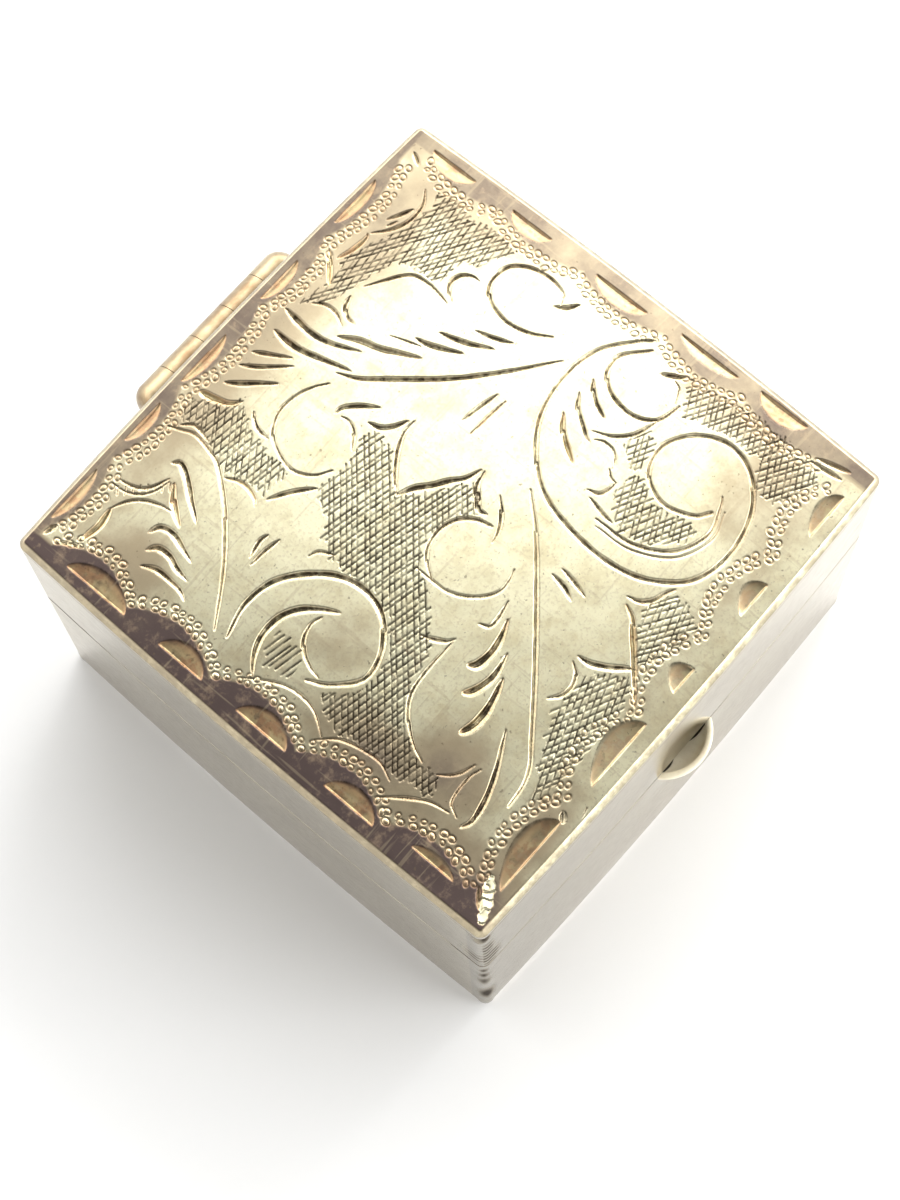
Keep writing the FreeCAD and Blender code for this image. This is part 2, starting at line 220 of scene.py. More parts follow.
def inside(polygon, x, y):
    """Even-odd test of grid points against a polygon in mm."""
    result = np.zeros(x.shape, bool)
    for (ax, ay), (bx, by) in zip(polygon, polygon[1:] + polygon[:1]):
        if ay == by:
            continue
        between = (ay > y) != (by > y)
        result ^= between & (x < ax + (y - ay) * (bx - ax) / (by - ay))
    return result


HATCH_PITCH = 0.25
HATCH_WIDTH = 0.105
HATCH_DEPTH = 0.05
HATCH_JITTER = 0.055
HATCH_OVERRUN = 0.16
HATCH_SOOT = 2.8


def hatch(polygon, angles):
    """Fine parallel scratches over a polygon, one set for each angle in degrees."""
    corners = np.array(polygon)
    low, high = corners.min(0), corners.max(0)
    area = window(low[0] - 0.3, high[0] + 0.3, low[1] - 0.3, high[1] + 0.3)
    x, y = X[area], Y[area]
    for angle in angles:
        turn = math.radians(angle)
        across = -x * math.sin(turn) + y * math.cos(turn)
        along = x * math.cos(turn) + y * math.sin(turn)
        across = across + 0.02 * np.sin(along * 0.7 + 1.3) + 0.006 * np.sin(along * 2.3)
        number = np.round(across / HATCH_PITCH).astype(int)
        first = number.min()
        jitter = draw.uniform(-HATCH_JITTER, HATCH_JITTER, number.max() - first + 1)
        overrun = draw.uniform(-HATCH_OVERRUN, HATCH_OVERRUN, jitter.size)
        strength = draw.uniform(0.6, 1.0, jitter.size)
        index = number - first
        away = np.abs(across - number * HATCH_PITCH - jitter[index])
        shift = overrun[index]
        mask = inside(polygon, x + shift * math.cos(turn), y + shift * math.sin(turn))
        wobble = 0.75 + 0.25 * np.sin(along * 5.0 + index * 2.4)
        profile = np.clip(1 - away / (HATCH_WIDTH / 2), 0, 1) * mask * strength[index] * wobble
        keep_larger(cut_depth, area, profile * HATCH_DEPTH)
        keep_larger(soot, area, np.clip(profile * HATCH_SOOT, 0, 1))


DITCH_DEPTH = 0.03
LIT_SIDE_SOOT = 0.12


def bead(x, y, turn, long, wide, height, dark):
    """One bead of the milled border: a small oval dome in a dark, shallow ring, darkest on its front right
    side as painted shade.
    """
    reach = long * 1.7
    area = window(x - reach, x + reach, y - reach, y + reach)
    px, py = X[area] - x, Y[area] - y
    u = (px * math.cos(turn) + py * math.sin(turn)) / long
    v = (-px * math.sin(turn) + py * math.cos(turn)) / wide
    ring = np.sqrt(u * u + v * v)
    top = np.sqrt(np.clip(1 - ring**2, 0, 1))
    keep_larger(bead_height, area, top * height)
    keep_larger(bead_share, area, smoothstep(1.05, 0.9, ring))
    ditch = smoothstep(1.55, 1.15, ring)
    keep_larger(cut_depth, area, ditch * DITCH_DEPTH)
    # Painted shade: the ring darkens on the bead's front right side, and the other side keeps only a thin
    # soot
    soot_and_painted_shade = smoothstep(0.0, 1.2, (px * 0.6 - py * 0.8) / long)
    soot_and_painted_shade = LIT_SIDE_SOOT + (1 - LIT_SIDE_SOOT) * soot_and_painted_shade
    keep_larger(soot, area, ditch * dark * soot_and_painted_shade)
    keep_larger(gold, area, smoothstep(1.6, 1.3, ring) * 0.5)


# Each side of the lid has its own along and outward directions
SIDES = {
    "left": ((0, 1), (-1, 0)),
    "right": ((0, 1), (1, 0)),
    "bottom": ((1, 0), (0, -1)),
    "top": ((1, 0), (0, 1)),
}


def on_side(side, along, outward):
    (ax, ay), (ox, oy) = SIDES[side]
    return ax * along + ox * outward, ay * along + oy * outward


BOAT_DEPTH = 0.13
BOAT_GOLD = 0.9
BOAT_SOOT = 0.8


def boat(side, start, finish, outer, inner, point):
    """A D-shaped graver cut: straight and steep on its outer side, sloping up to a curved inner side."""
    low, high = min(start, finish), max(start, finish)
    x0, y0 = on_side(side, low, inner)
    x1, y1 = on_side(side, high, outer)
    area = window(min(x0, x1), max(x0, x1), min(y0, y1), max(y0, y1))
    (ax, ay), (ox, oy) = SIDES[side]
    along = X[area] * ax + Y[area] * ay
    outward = X[area] * ox + Y[area] * oy
    q = (along - (low + high) / 2) / ((high - low) / 2)
    q = q - point * (1 - q * q)
    arch = np.clip(1 - q * q, 0, 1) ** 0.62
    reach = (outer - inner) * arch
    share = np.clip((outward - (outer - reach)) / np.maximum(reach, 0.02), 0, 1.6)
    mask = (np.abs(q) < 1) & (outward < outer) & (share > 0)
    edge = np.clip((outer - outward) / 0.07, 0, 1)
    floor = BOAT_DEPTH * arch**0.5 * np.clip(share, 0, 1) ** 0.75 * edge * mask
    ridges = 0.0022 * np.sin(outward * 21 + along * 1.1 + 2 * np.sin(along * 1.7)) * edge * mask
    keep_larger(cut_depth, area, floor + ridges)
    keep_larger(gold, area, mask * np.clip(share * 5, 0, 1) * BOAT_GOLD)
    near_rim = np.clip(1 - share / 0.22, 0, 1) + np.clip(1 - (outer - outward) / 0.09, 0, 1) * 0.7
    keep_larger(soot, area, mask * np.clip(near_rim, 0, 1) * BOAT_SOOT)


# ---- cross-hatched grounds, in mm on the lid
GROUNDS = [
    ([(-7.1, -10.6), (-6, -9.9), (-4.6, -9.2), (-3.9, -8.9), (-3, -9), (-2, -9), (-1.5, -9.2),
      (-1.1, -9.9), (-0.8, -10.3), (-1.6, -10.9), (-3.5, -11), (-7, -11)], (-25, 20)),
    ([(0.1, -10), (0.8, -9.5), (1.5, -9.1), (2, -8.9), (2.4, -9.2), (3, -9.5), (3.1, -10.2),
      (2.9, -10.9), (2.3, -11.1), (1, -10.9), (-0.2, -10.4)], (-32, 18)),
    ([(8.9, -8.9), (11.2, -8), (11.2, -10.2), (10.8, -10.9), (9, -10.3), (8.7, -9.3)], (-30, 28)),
    ([(9.3, -4.8), (10.3, -4.2), (11, -3.9), (11.2, -5.5), (11.4, -7), (11.4, -8.9), (10.2, -8.8),
      (9.9, -8), (10, -6.8), (9.7, -5.8)], (-30, 28)),
    ([(4.2, -5.3), (4.9, -4.8), (6, -4.9), (6, -5.5), (5.6, -6.2), (5.5, -7.2), (6, -8.1),
      (5.6, -8.5), (4.9, -8.3), (4.2, -7.6), (3.8, -6.8), (3.7, -6)], (-25, 25)),
    ([(6.2, -4.3), (6.8, -3.7), (7.9, -4.1), (7.6, -4.7), (6.7, -5), (6.2, -4.9)], (-25, 25)),
    ([(-3, 4.5), (-2, 4.5), (-0.9, 4.4), (-0.2, 4.8), (0.4, 4.4), (0.4, 3.4), (-0.6, 2.7), (-1.2, 1.9),
      (-0.5, 1.2), (0.9, 0.2), (1.4, -0.2), (0.7, -0.7), (0.5, -1.3), (0, -0.9), (-0.5, -0.4),
      (-1.5, -0.2), (-2.3, -0.5), (-2.9, -0.9), (-3.3, -1.6), (-4.2, -2.6), (-5, -3.5), (-6.5, -3.8),
      (-7.5, -4.2), (-8.3, -4.8), (-9, -6), (-9, -7.3), (-9.8, -7.5), (-10, -6), (-9.9, -4),
      (-10.2, -2.8), (-9.6, -1.4), (-9.2, -1.6), (-8.5, -2.4), (-7.5, -2.7), (-6.3, -2.3), (-5.2, -1.4),
      (-4.9, -0.2), (-4.9, 1), (-4.9, 2.2), (-4.6, 2.9), (-3.8, 3.4), (-3.4, 4.1)], (-13, 42)),
    ([(-4.4, 11.3), (-3.4, 11.5), (-2.9, 10.8), (-2.4, 10), (-2, 9.7), (-2.6, 8.9), (-3, 8.2),
      (-3.1, 7.2), (-3.2, 6), (-4.6, 6.2), (-4.7, 7.5), (-5, 8.1), (-4.4, 9.3),
      (-4.1, 10.4)], (35, -8)),
    ([(2.6, 11), (4.2, 10.7), (5, 10.6), (5.8, 10.9), (7, 10.4), (7.6, 10.2), (8.5, 9.8),
      (10, 9.6), (10.6, 9.9), (10.9, 8.9), (10.5, 8), (10.8, 7.2), (10.7, 6.3), (10.6, 5.4),
      (9.9, 5.8), (9, 6.2), (8.7, 6.9), (8, 6.9), (7.3, 7), (7.2, 8.4), (6.9, 9.1), (6.2, 9.3),
      (5.2, 9.6), (3.9, 9.9)], (-32, 9)),
    ([(-10, 1.3), (-9.6, 1.7), (-8.6, 1.75), (-8.6, 0.4), (-8.9, 0.1), (-9.8, 0.1)], (-13,)),
]
for polygon, angles in GROUNDS:
    hatch(polygon, angles)

# ---- the leaf and scroll cuts: points in mm, width
# Upper right frond
cut([(1.4, 7.5), (1.8, 6.6), (2.5, 5.7), (4.2, 3.7), (6, 2.1), (8, 0.6)], 0.32, swell=0.3)
cut([(1.25, 10.9), (1.15, 10), (1.25, 9.2), (1.5, 8.3), (1.85, 7.1)], 0.4, swell=0.25)
cut([(2.3, 11.2), (2.15, 10.3), (2.1, 9.4), (2.3, 8.5), (2.8, 7.35)], 0.38, swell=0.25)
cut([(2.7, 8.6), (3.1, 7.8), (3.4, 6.8), (3.8, 6), (4.2, 5.2)], 0.42, swell=0.35, dark=0.7)
cut([(4.15, 6.9), (4.4, 6.2), (4.6, 5.6)], 0.12)
cut([(4.75, 6), (4.85, 5.4), (5.1, 4.8), (5.5, 4)], 0.34, swell=0.4)
cut([(5.6, 5.4), (5.75, 4.8), (6, 4.1), (6.5, 3.15)], 0.32, swell=0.4)
cut([(6.65, 4.3), (6.85, 3.6), (7.1, 3), (7.25, 2.7)], 0.26)
cut([(3.6, 8.45), (3.65, 8.9), (4, 9.3), (4.5, 9.45)], 0.27)
cut([(5.2, 9.3), (6, 8.8), (6.6, 8.4), (6.95, 8), (7.05, 7.4), (7, 6.8), (6.85, 6.1)], 0.2)
cut([(7.05, 6), (7.3, 6.35), (7.7, 6.6), (8.2, 6.5), (8.5, 6.15), (8.55, 5.75)], 0.24)
cut([(8.55, 1.65), (8.1, 2.4), (7.85, 3.2), (7.85, 3.9), (8.1, 4.7), (8.6, 5.2), (9.2, 5.35), (9.9, 5.2),
     (10.4, 4.6), (10.6, 3.9), (10.6, 3.2), (10.4, 2.6), (10, 2.35)], 0.24, end=0.5)
cut([(9.7, 2.55), (10, 2.1), (10.5, 1.75)], 0.28)
cut([(3.2, 10.5), (3.5, 10), (3.5, 9.4), (3.2, 8.8)], 0.2)
# Upper right corner leaves
cut([(7.3, 10.8), (7.9, 10.3), (8.5, 10), (9.1, 9.9), (9.8, 10), (10.4, 10.4)], 0.22)
cut([(8.25, 10.7), (8.8, 10.4), (9.35, 10.15)], 0.22)
cut([(8, 10.5), (8.45, 10.3)], 0.12)
cut([(4.3, 10.5), (4.9, 11), (5.6, 11.7)], 0.28, colour=1.0, dark=0.4)
cut([(5.5, 11.1), (6.3, 10.85), (7, 10.8), (7.2, 10.9)], 0.28, colour=1.0, dark=0.4)
# Upper middle
cut([(-1.9, 10.9), (-1.5, 10.3), (-1, 9.7), (-0.5, 9.05)], 0.3, swell=0.3)
cut([(-0.9, 10.95), (-0.5, 10.3), (-0.1, 9.8), (0.5, 9.1)], 0.24, swell=0.3)
cut([(-0.1, 10.95), (0.25, 10.3), (0.75, 9.4)], 0.24, swell=0.3)
cut([(-2.85, 11.4), (-2.8, 11), (-2.7, 10.6), (-2.5, 10.1), (-2.1, 9.7)], 0.4,
    swell=0.12, colour=1.0, dark=0.3)
cut([(-2.1, 9), (-2.4, 8.7), (-2.6, 8.3), (-2.65, 7.7)], 0.22)
cut([(0.85, 7.4), (0.3, 7.8), (-0.4, 8.1), (-1.2, 8.2), (-1.8, 8.05), (-2.4, 7.65), (-2.8, 7),
     (-3.05, 6.2), (-2.95, 5.6), (-2.6, 5.05), (-2, 4.65)], 0.17, end=0.6)
cut([(0.05, 6), (0.1, 5.6), (-0.1, 5.2), (-0.4, 4.9), (-0.8, 4.6)], 0.2)
cut([(0, 6.3), (0.4, 6.2), (0.9, 5.7), (1.4, 5)], 0.32, swell=0.4)
cut([(-4.7, 5.9), (-3.9, 5.4), (-3.3, 4.9), (-3, 4.6)], 0.27)
cut([(0.55, 4.95), (0.7, 4.4), (1.1, 4), (1.7, 3.7)], 0.32, swell=0.4)
# Centre
cut([(1.9, 3.5), (1.2, 3.5), (0.5, 3.2), (-0.1, 2.8), (-0.6, 2.4), (-1.1, 1.9)], 0.24)
cut([(-1.1, 1.9), (-0.4, 1.5), (0.2, 1), (0.8, 0.6), (1.3, 0.2), (2, -0.05)], 0.36, swell=0.3)
cut([(2.05, -0.2), (1.4, -0.35), (0.9, -0.8), (0.6, -1.1), (0.65, -1.5)], 0.32, swell=0.6)
cut([(3.2, 2), (4.1, 1.85), (5.05, 1.65)], 0.24)
cut([(2.95, 1.35), (4, 1.3), (5, 1.2)], 0.16, colour=1.0)
cut([(0.4, -2), (0.2, -1.3), (-0.2, -0.8), (-0.8, -0.5), (-1.4, -0.45), (-2, -0.6), (-2.5, -1),
     (-2.95, -1.6)], 0.22, end=0.6, swell=0.2)
cut([(-2.95, -0.8), (-2.95, -1.7), (-2.9, -2.4), (-2.6, -3.1), (-2.1, -3.7), (-1.5, -4.05), (-0.9, -4.05),
     (-0.4, -3.9)], 0.16, end=0.5)
cut([(-0.1, -2.45), (0.4, -2.35), (1, -2), (1.65, -1.35)], 0.24)
# Main stem
cut([(2.65, -2.15), (1.2, -3.7), (-0.7, -5.35), (-3.2, -7.4), (-5.4, -9.1), (-6.2, -9.7), (-7, -10),
     (-8, -10.1)], 0.26, end=0.5, dark=0.6)
# Big lower right scroll
cut([(11.3, -1.7), (10.7, -1.1), (9.3, -0.15), (7.4, 0.1), (5.4, -0.35), (3.8, -1.5), (2.85, -2.8),
     (2.4, -4.6), (2.35, -6.6), (2.85, -8.3), (4.1, -9.7), (6, -10.1), (8, -9.6), (9.3, -8.4),
     (9.65, -7), (9, -5.7), (7.7, -5), (6.4, -5.4), (5.8, -6.6), (6.2, -7.9), (6.8, -8.4)],
    0.26, end=0.7, dark=0.9)
cut([(3.45, -5), (3.6, -6.8), (4.5, -8.3), (6, -8.9), (7.3, -8.5), (7.65, -8.3)], 0.2, end=0.5)
cut([(3.2, -5.2), (3.35, -6.9), (4.3, -8.5), (5.9, -9.15), (7.2, -8.8)], 0.12, dark=0.4)
cut([(6.2, -0.95), (5.6, -1.4), (5.1, -2), (4.7, -2.7)], 0.34, swell=0.65, colour=1.0, dark=0.6)
cut([(7.35, -0.85), (6.8, -1.2), (6.4, -1.7), (6, -2.3), (5.9, -2.6)], 0.28, swell=0.65)
cut([(8.2, -0.9), (7.8, -1.2), (7.4, -1.7), (7.1, -2.4)], 0.3, swell=0.65)
cut([(10.85, -1.9), (9.9, -1.1), (9.3, -1), (8.7, -1.2), (8.2, -1.8), (8, -2.5), (8, -3.2),
     (8.25, -3.8), (8.7, -4.2), (9.6, -4.4)], 0.24, end=0.6)
cut([(6.1, -2.7), (6.3, -3.1), (6.25, -3.6), (5.9, -4), (5.6, -4.1)], 0.16)
cut([(6.35, -2.4), (6.6, -3), (7, -3.5), (7.6, -3.9), (8.7, -4.2)], 0.22)
cut([(10.25, -2.85), (10.5, -3.3), (10.85, -3.85)], 0.3)
cut([(10.4, -3.5), (10.2, -3.9), (9.6, -4.2)], 0.12)
cut([(4.2, -3.9), (4.4, -4.4), (4.9, -4.6), (5.2, -4.6)], 0.2)
cut([(5.5, -4), (5.25, -4.3), (5.2, -4.6)], 0.16)
cut([(4, -4.2), (3.8, -5.1), (3.75, -5.6)], 0.22)
# Left stem and its leaves
cut([(-4.9, 11.4), (-4.65, 10.8), (-4.45, 10.2), (-4.6, 9.3), (-4.9, 8.5), (-6.2, 6.9), (-8, 5.3),
     (-10.2, 3.8)], 0.22, end=0.5, dark=0.6)
cut([(-4.5, 11), (-4.15, 10.5), (-4.3, 9.6)], 0.2)
cut([(-10.9, 10.7), (-10, 10.55), (-9.1, 10.7)], 0.4, colour=1.0, dark=0.4)
cut([(-9.1, 10.7), (-8.5, 10.4), (-8, 9.9), (-7.7, 9.2), (-7.6, 8.6)], 0.18)
cut([(-7.95, 11.55), (-7.9, 11), (-7.7, 10.4), (-7.3, 10), (-6.6, 9.7)], 0.17)
cut([(-8.25, 11.5), (-8.2, 10.8), (-7.9, 10.2), (-7.4, 9.8), (-6.7, 9.6)], 0.13)
for tick in range(8):
    along = tick / 7
    start_x = -8.5 + 1.5 * along
    start_y = 10.9 - 1.6 * along
    cut([(start_x, start_y), (start_x + 0.3, start_y + 0.22)], 0.09, dark=0.6)
cut([(-6, 10.1), (-5.8, 9.8), (-6.1, 9.2), (-6.7, 8.4), (-7.3, 7.5)], 0.36, swell=0.3)
cut([(-6.6, 9.4), (-7.2, 8.9), (-7.6, 8.4), (-7.9, 7.9)], 0.34, colour=1.0, dark=0.4)
cut([(-8.85, 8.75), (-8.4, 8.5), (-8.3, 7.9), (-8.5, 7.2), (-8.7, 6.5)], 0.34, swell=0.35)
cut([(-9.5, 8.3), (-9.15, 8), (-9.1, 7.4), (-9.3, 6.8), (-9.4, 6.1)], 0.34, swell=0.35)
cut([(-10.15, 8), (-9.9, 7.5), (-9.85, 6.9), (-9.9, 6.1), (-10.1, 5.6)], 0.28, swell=0.35)
cut([(-5.1, 7.9), (-4.85, 7.4), (-4.8, 6.9), (-5, 6.3), (-5.2, 6.1)], 0.22, colour=1.0, dark=0.4)
cut([(-7, 4.75), (-6.2, 4.9), (-5.8, 4.8)], 0.24)
cut([(-7.2, 4.5), (-6.4, 4.45), (-5.65, 4.3)], 0.22)
# Left C scroll
cut([(-10.1, 3.2), (-8.6, 3.55), (-7, 3.2), (-5.6, 1.9), (-5.05, 0.5), (-5.3, -0.9), (-6.4, -2),
     (-7.8, -2.3), (-8.9, -1.4), (-9.4, -0.5)], 0.34, swell=0.3, end=0.4)
cut([(-10.6, 1.35), (-10, 1.8), (-9.3, 2.1), (-8.6, 2.15), (-7.9, 2), (-7.3, 1.6), (-6.8, 1),
     (-6.4, 0.3)], 0.38, swell=0.5)
cut([(-7, 0.75), (-7.5, 0.9), (-8.1, 0.75), (-8.6, 0.3), (-8.9, -0.3), (-9, -0.8)], 0.22)
# Lower left leaf
cut([(-4.3, -4), (-6.2, -4), (-7.2, -4.2), (-8, -4.8), (-8.6, -5.6), (-8.9, -6.3)], 0.2)
cut([(-8.9, -7.1), (-8.6, -7.5), (-8.2, -7.8), (-7.6, -8)], 0.14)
cut([(-9.7, -8.8), (-9.4, -8.3), (-8.8, -8.15), (-8.1, -8.15), (-7.6, -8.3)], 0.14)
cut([(-9.9, -9.2), (-9.4, -9.4), (-8.6, -9.3), (-7.8, -9.05), (-7, -8.7), (-5.7, -8)], 0.32, swell=0.3)
cut([(-3.1, -4.3), (-2.9, -4.7), (-2.4, -4.75), (-1.6, -4.6)], 0.22)
cut([(-4.7, -5.1), (-4.4, -5.4), (-3.7, -5.5), (-3, -5.4), (-2.2, -5.1)], 0.45, swell=0.2, colour=0.9)
cut([(-5.7, -5.7), (-5.3, -6), (-4.5, -6.2), (-3.9, -6.15), (-3.3, -6)], 0.4, swell=0.2, colour=0.9)
cut([(-7, -6.7), (-6.5, -6.9), (-5.8, -6.95), (-5, -6.8), (-4.2, -6.55)], 0.48, swell=0.2, colour=0.9)
cut([(-5, -2.8), (-4.8, -3.3), (-4.5, -3.8), (-4.2, -4)], 0.22)
cut([(-5.4, 2.9), (-5, 2.7), (-4.7, 2.1)], 0.16)
# Lower middle
cut([(-3.65, -8.4), (-3.2, -8.75), (-2.7, -8.85), (-2.2, -8.7), (-1.8, -8.2)], 0.22)
cut([(-1.5, -8.2), (-1.4, -8.8), (-1, -9.5), (-0.6, -10), (-0.35, -10.4)], 0.32, swell=0.4)
cut([(1.45, -8.3), (1.2, -8.8), (0.6, -9.4), (-0.4, -10.3), (-1.6, -11.3)], 0.32,
    swell=0.35, colour=1.0, dark=0.5)
cut([(1.75, -8.1), (1.9, -8.6), (2.3, -9), (2.9, -9.2), (3.3, -9.4)], 0.24)
cut([(0.45, -5.2), (0.35, -5.9), (0.1, -6.5)], 0.27)
cut([(0.9, -5.35), (0.8, -6), (0.6, -6.8)], 0.22)
cut([(-7.4, -12.9), (-6, -12.5)], 0.12)
cut([(-7, -12.1), (-6.8, -11.95)], 0.34, depth=0.12, end=0.8, colour=0.0)
# Smooth scallop lines on the left
cut([(-11, 1.6), (-10.5, 0.8), (-10.15, 0.1), (-10, -0.7), (-10.15, -1.6), (-10.75, -2.55)], 0.15)
cut([(-11, -2.4), (-10.4, -3.1), (-10.1, -4), (-10, -5), (-10.3, -5.8)], 0.15)
cut([(-11.2, -5.8), (-10.7, -6.4), (-10.2, -7.1), (-9.9, -7.7), (-9.75, -8.45)], 0.15)

# ---- border: boats, then two rows of beads
BOATS = {
    "left": [(7.1, 10.4, 12.15, 11.25), (2.8, 5.2, 12.15, 11.3), (-1.8, 0.9, 12.15, 11.25),
             (-6.5, -3.9, 12.15, 11.3), (-10.4, -8.2, 11.75, 11.3)],
    "bottom": [(-10.8, -7.1, 12.1, 11.1), (-5.2, -1.8, 12.1, 11.1), (-0.1, 1.25, 12.1, 11.25),
               (4.2, 5.95, 12.1, 11.35), (8.7, 11.0, 12.1, 11.4)],
    "right": [(9.0, 11.4, 12.15, 11.4), (4.7, 6.9, 12.15, 11.4), (-0.6, 2.2, 12.15, 11.4),
              (-5.4, -2.3, 12.35, 11.8), (-9.0, -6.5, 12.5, 11.7)],
    "top": [(-11.0, -8.2, 12.42, 11.9), (-6.5, -4.3, 12.42, 11.9), (-3.0, -0.2, 12.42, 11.9),
            (2.0, 4.35, 12.42, 11.9), (6.7, 9.4, 12.42, 11.9)],
}
for side, boats in BOATS.items():
    for start, finish, outer, inner in boats:
        boat(side, start, finish, outer, inner, 0.22 if side == "bottom" else 0.0)

# Bead rows: where each scallop starts and ends along its side, its cusp height and how far it bows in
SCALLOPS = {
    "left": ([11.5, 7.3, 2.6, -2.1, -6.7, -11.2], 11.75, 0.9),
    "right": ([11.3, 7.3, 2.7, -1.8, -6.0, -10.6], 11.7, 0.55),
    "top": ([-11.4, -7.4, -3.2, 1.7, 5.9, 10.8], 12.1, 0.55),
    "bottom": ([-11.2, -6.3, -1.8, 2.5, 7.1, 11.0], 11.7, 0.9),
}
BEAD_PITCH = 0.44
ROW_GAP = 0.34
BEAD_LONG = 0.14
BEAD_WIDE = 0.108
BEAD_JOG = 0.055
BEAD_TWIST = 0.4
# How far the beads stand up and how dark the dirt between them is, side by side
BEAD_LOOK = {"left": (0.05, 0.9), "right": (0.034, 0.8), "top": (0.034, 0.8), "bottom": (0.036, 0.75)}
for side, (cusps, cusp_out, bow) in SCALLOPS.items():
    for first, last in zip(cusps[:-1], cusps[1:]):
        for row in range(2):
            count = int(abs(last - first) * 1.06 / BEAD_PITCH)
            for k in range(count):
                f = (k + 0.5 * row + 0.25) / count
                along = first + (last - first) * f
                arch = math.sin(math.pi * f) ** 0.8
                slope = math.cos(math.pi * f) * bow * math.pi / (last - first)
                outward = cusp_out - bow * arch - ROW_GAP * row
                x, y = on_side(side, along, outward)
                dx, dy = on_side(side, 1.0, -slope)
                turn = math.atan2(dy, dx) + (0.5 if row else -0.5)
                jog_x, jog_y, jog_turn = draw.uniform(-1, 1, 3)
                size = draw.uniform(0.72, 1.15)
                height, dark = BEAD_LOOK[side]
                x, y, turn = x + BEAD_JOG * jog_x, y + BEAD_JOG * jog_y, turn + BEAD_TWIST * jog_turn
                bead(x, y, turn, BEAD_LONG * size, BEAD_WIDE * size, height * size, dark)
# The rows end in long cuts towards the corners
for points in (
    [(-11.6, 11.4), (-11.1, 10.4)], [(-11.7, 12.1), (-11.1, 11.9)], [(11.1, 11.4), (11.45, 12.0)],
    [(11.3, -10.0), (11.5, -11.5)], [(11.6, -10.2), (12.0, -11.6)], [(-11.2, -11.3), (-11.9, -11.9)],
):
    cut(points, 0.26, dark=0.6)


# ---- where tarnish lies on the lid
MARGIN_TARNISH = {"left": 1.0, "bottom": 0.16, "right": 0.74, "top": 0.8}
tarnish = np.zeros_like(X)
for side, (cusps, cusp_out, bow) in SCALLOPS.items():
    (ax, ay), (ox, oy) = SIDES[side]
    along = X * ax + Y * ay
    outward = X * ox + Y * oy
    limit = np.full_like(X, cusp_out)
    for first, last in zip(cusps[:-1], cusps[1:]):
        f = (along - first) / (last - first)
        arch = np.sin(math.pi * np.clip(f, 0, 1)) ** 0.8
        limit = np.where((f > 0) & (f < 1), cusp_out - bow * arch, limit)
    tarnish = np.maximum(tarnish, smoothstep(-0.15, 0.25, outward - limit) * MARGIN_TARNISH[side])
# Cloudy patches inside the border: centre, reach and strength
PATCHES = [
    (-8.6, -7.4, 2.0, 2.0, 0.75), (-9.9, -4.8, 1.7, 3.2, 0.72), (-7.3, -0.4, 2.0, 2.0, 0.28),
    (-10.8, -9.8, 1.6, 2.2, 0.6), (-10.2, 8.6, 2.4, 2.6, 0.5), (-10.6, 1.5, 1.5, 3.5, 0.2),
    (0.0, 11.0, 12.5, 1.9, 0.55), (8.2, 10.6, 5.5, 2.4, 0.6), (10.6, 8.4, 2.2, 3.0, 0.5),
    (-7.0, 9.5, 3.0, 2.0, 0.3), (4.0, -11.2, 9.0, 1.2, 0.3),
    (11.2, 7.5, 2.0, 4.5, 0.55), (11.4, -6.0, 2.0, 5.0, 0.5), (9.2, -9.8, 3.6, 3.0, 0.42),
    (-10.4, -6.0, 1.8, 7.0, 0.5), (9.8, 10.8, 3.0, 2.0, 0.5), (-8.5, -11.6, 3.0, 1.2, 0.62),
    (-11.6, -11.6, 2.0, 2.0, 1.0), (11.8, 12.0, 1.2, 1.2, 0.6),
]
for px, py, rx, ry, strength in PATCHES:
    tarnish = np.maximum(tarnish, strength * np.exp(-(((X - px) / rx) ** 2) - ((Y - py) / ry) ** 2))
to_edge = edge_distance(X, Y)
polished_edge = 1 - smoothstep(0.2, 0.3, to_edge)
tarnish = tarnish * (1 - 0.6 * polished_edge)

# ---- lid plate height
FULL_CUT = 0.1
bevel_share = np.clip(1 - to_edge / BEVEL, 0, 1)
bevel_drop = BEVEL * bevel_share**1.5
keep_clear = smoothstep(0.3, 0.45, to_edge)
relief = (bead_height - cut_depth) * keep_clear
soot = soot * (1 - bead_share)
dents = 0.0016 * np.sin(X * 1.7 + 0.6) * np.sin(Y * 1.3 + 2.0) + 0.0008 * np.sin(X * 3.9 + Y * 2.3)

# The glare streak: a burnished strip whose facets face the key softbox
STREAK_START = (-12.3, -12.35)
STREAK_END = (-10.5, -11.4)
STREAK_HALF = 0.21
FACET_PITCH = 0.42
FACET_SLOPE = 0.2
streak_x, streak_y = STREAK_END[0] - STREAK_START[0], STREAK_END[1] - STREAK_START[1]
streak_length = math.hypot(streak_x, streak_y)
down_streak = ((X - STREAK_START[0]) * streak_x + (Y - STREAK_START[1]) * streak_y) / streak_length
off_streak = np.abs((X - STREAK_START[0]) * streak_y - (Y - STREAK_START[1]) * streak_x) / streak_length
swelling = np.sin(math.pi * np.clip(down_streak / streak_length, 0, 1)) ** 0.7
waver = 0.16 * np.sin(down_streak * 9) + 0.1 * np.sin(down_streak * 23)
streak_width = STREAK_HALF * (0.3 + swelling + waver)
streak = smoothstep(1.1, 0.8, off_streak / streak_width) * (down_streak > 0) * (down_streak < streak_length)
towards_key = 0.77 * X + 0.64 * Y
uneven = 0.08 * np.sin(down_streak * 5.3) + 0.05 * np.sin(X * 9 - Y * 6)
facet_rise = ((towards_key + uneven) / FACET_PITCH) % 1.0 * FACET_PITCH * FACET_SLOPE
tarnish = tarnish * (1 - streak)
Z = dome(X, Y) - bevel_drop + relief + dents * keep_clear - facet_rise * streak * keep_clear
Z = np.minimum(Z, CROWN_HEIGHT)


def add_attribute(mesh, name, values):
    layer = mesh.attributes.new(name, "FLOAT", "POINT")
    layer.data.foreach_set("value", np.asarray(values, np.float32).ravel())


def add_object(name, data):
    thing = bpy.data.objects.new(name, data)
    bpy.context.scene.collection.objects.link(thing)
    return thing


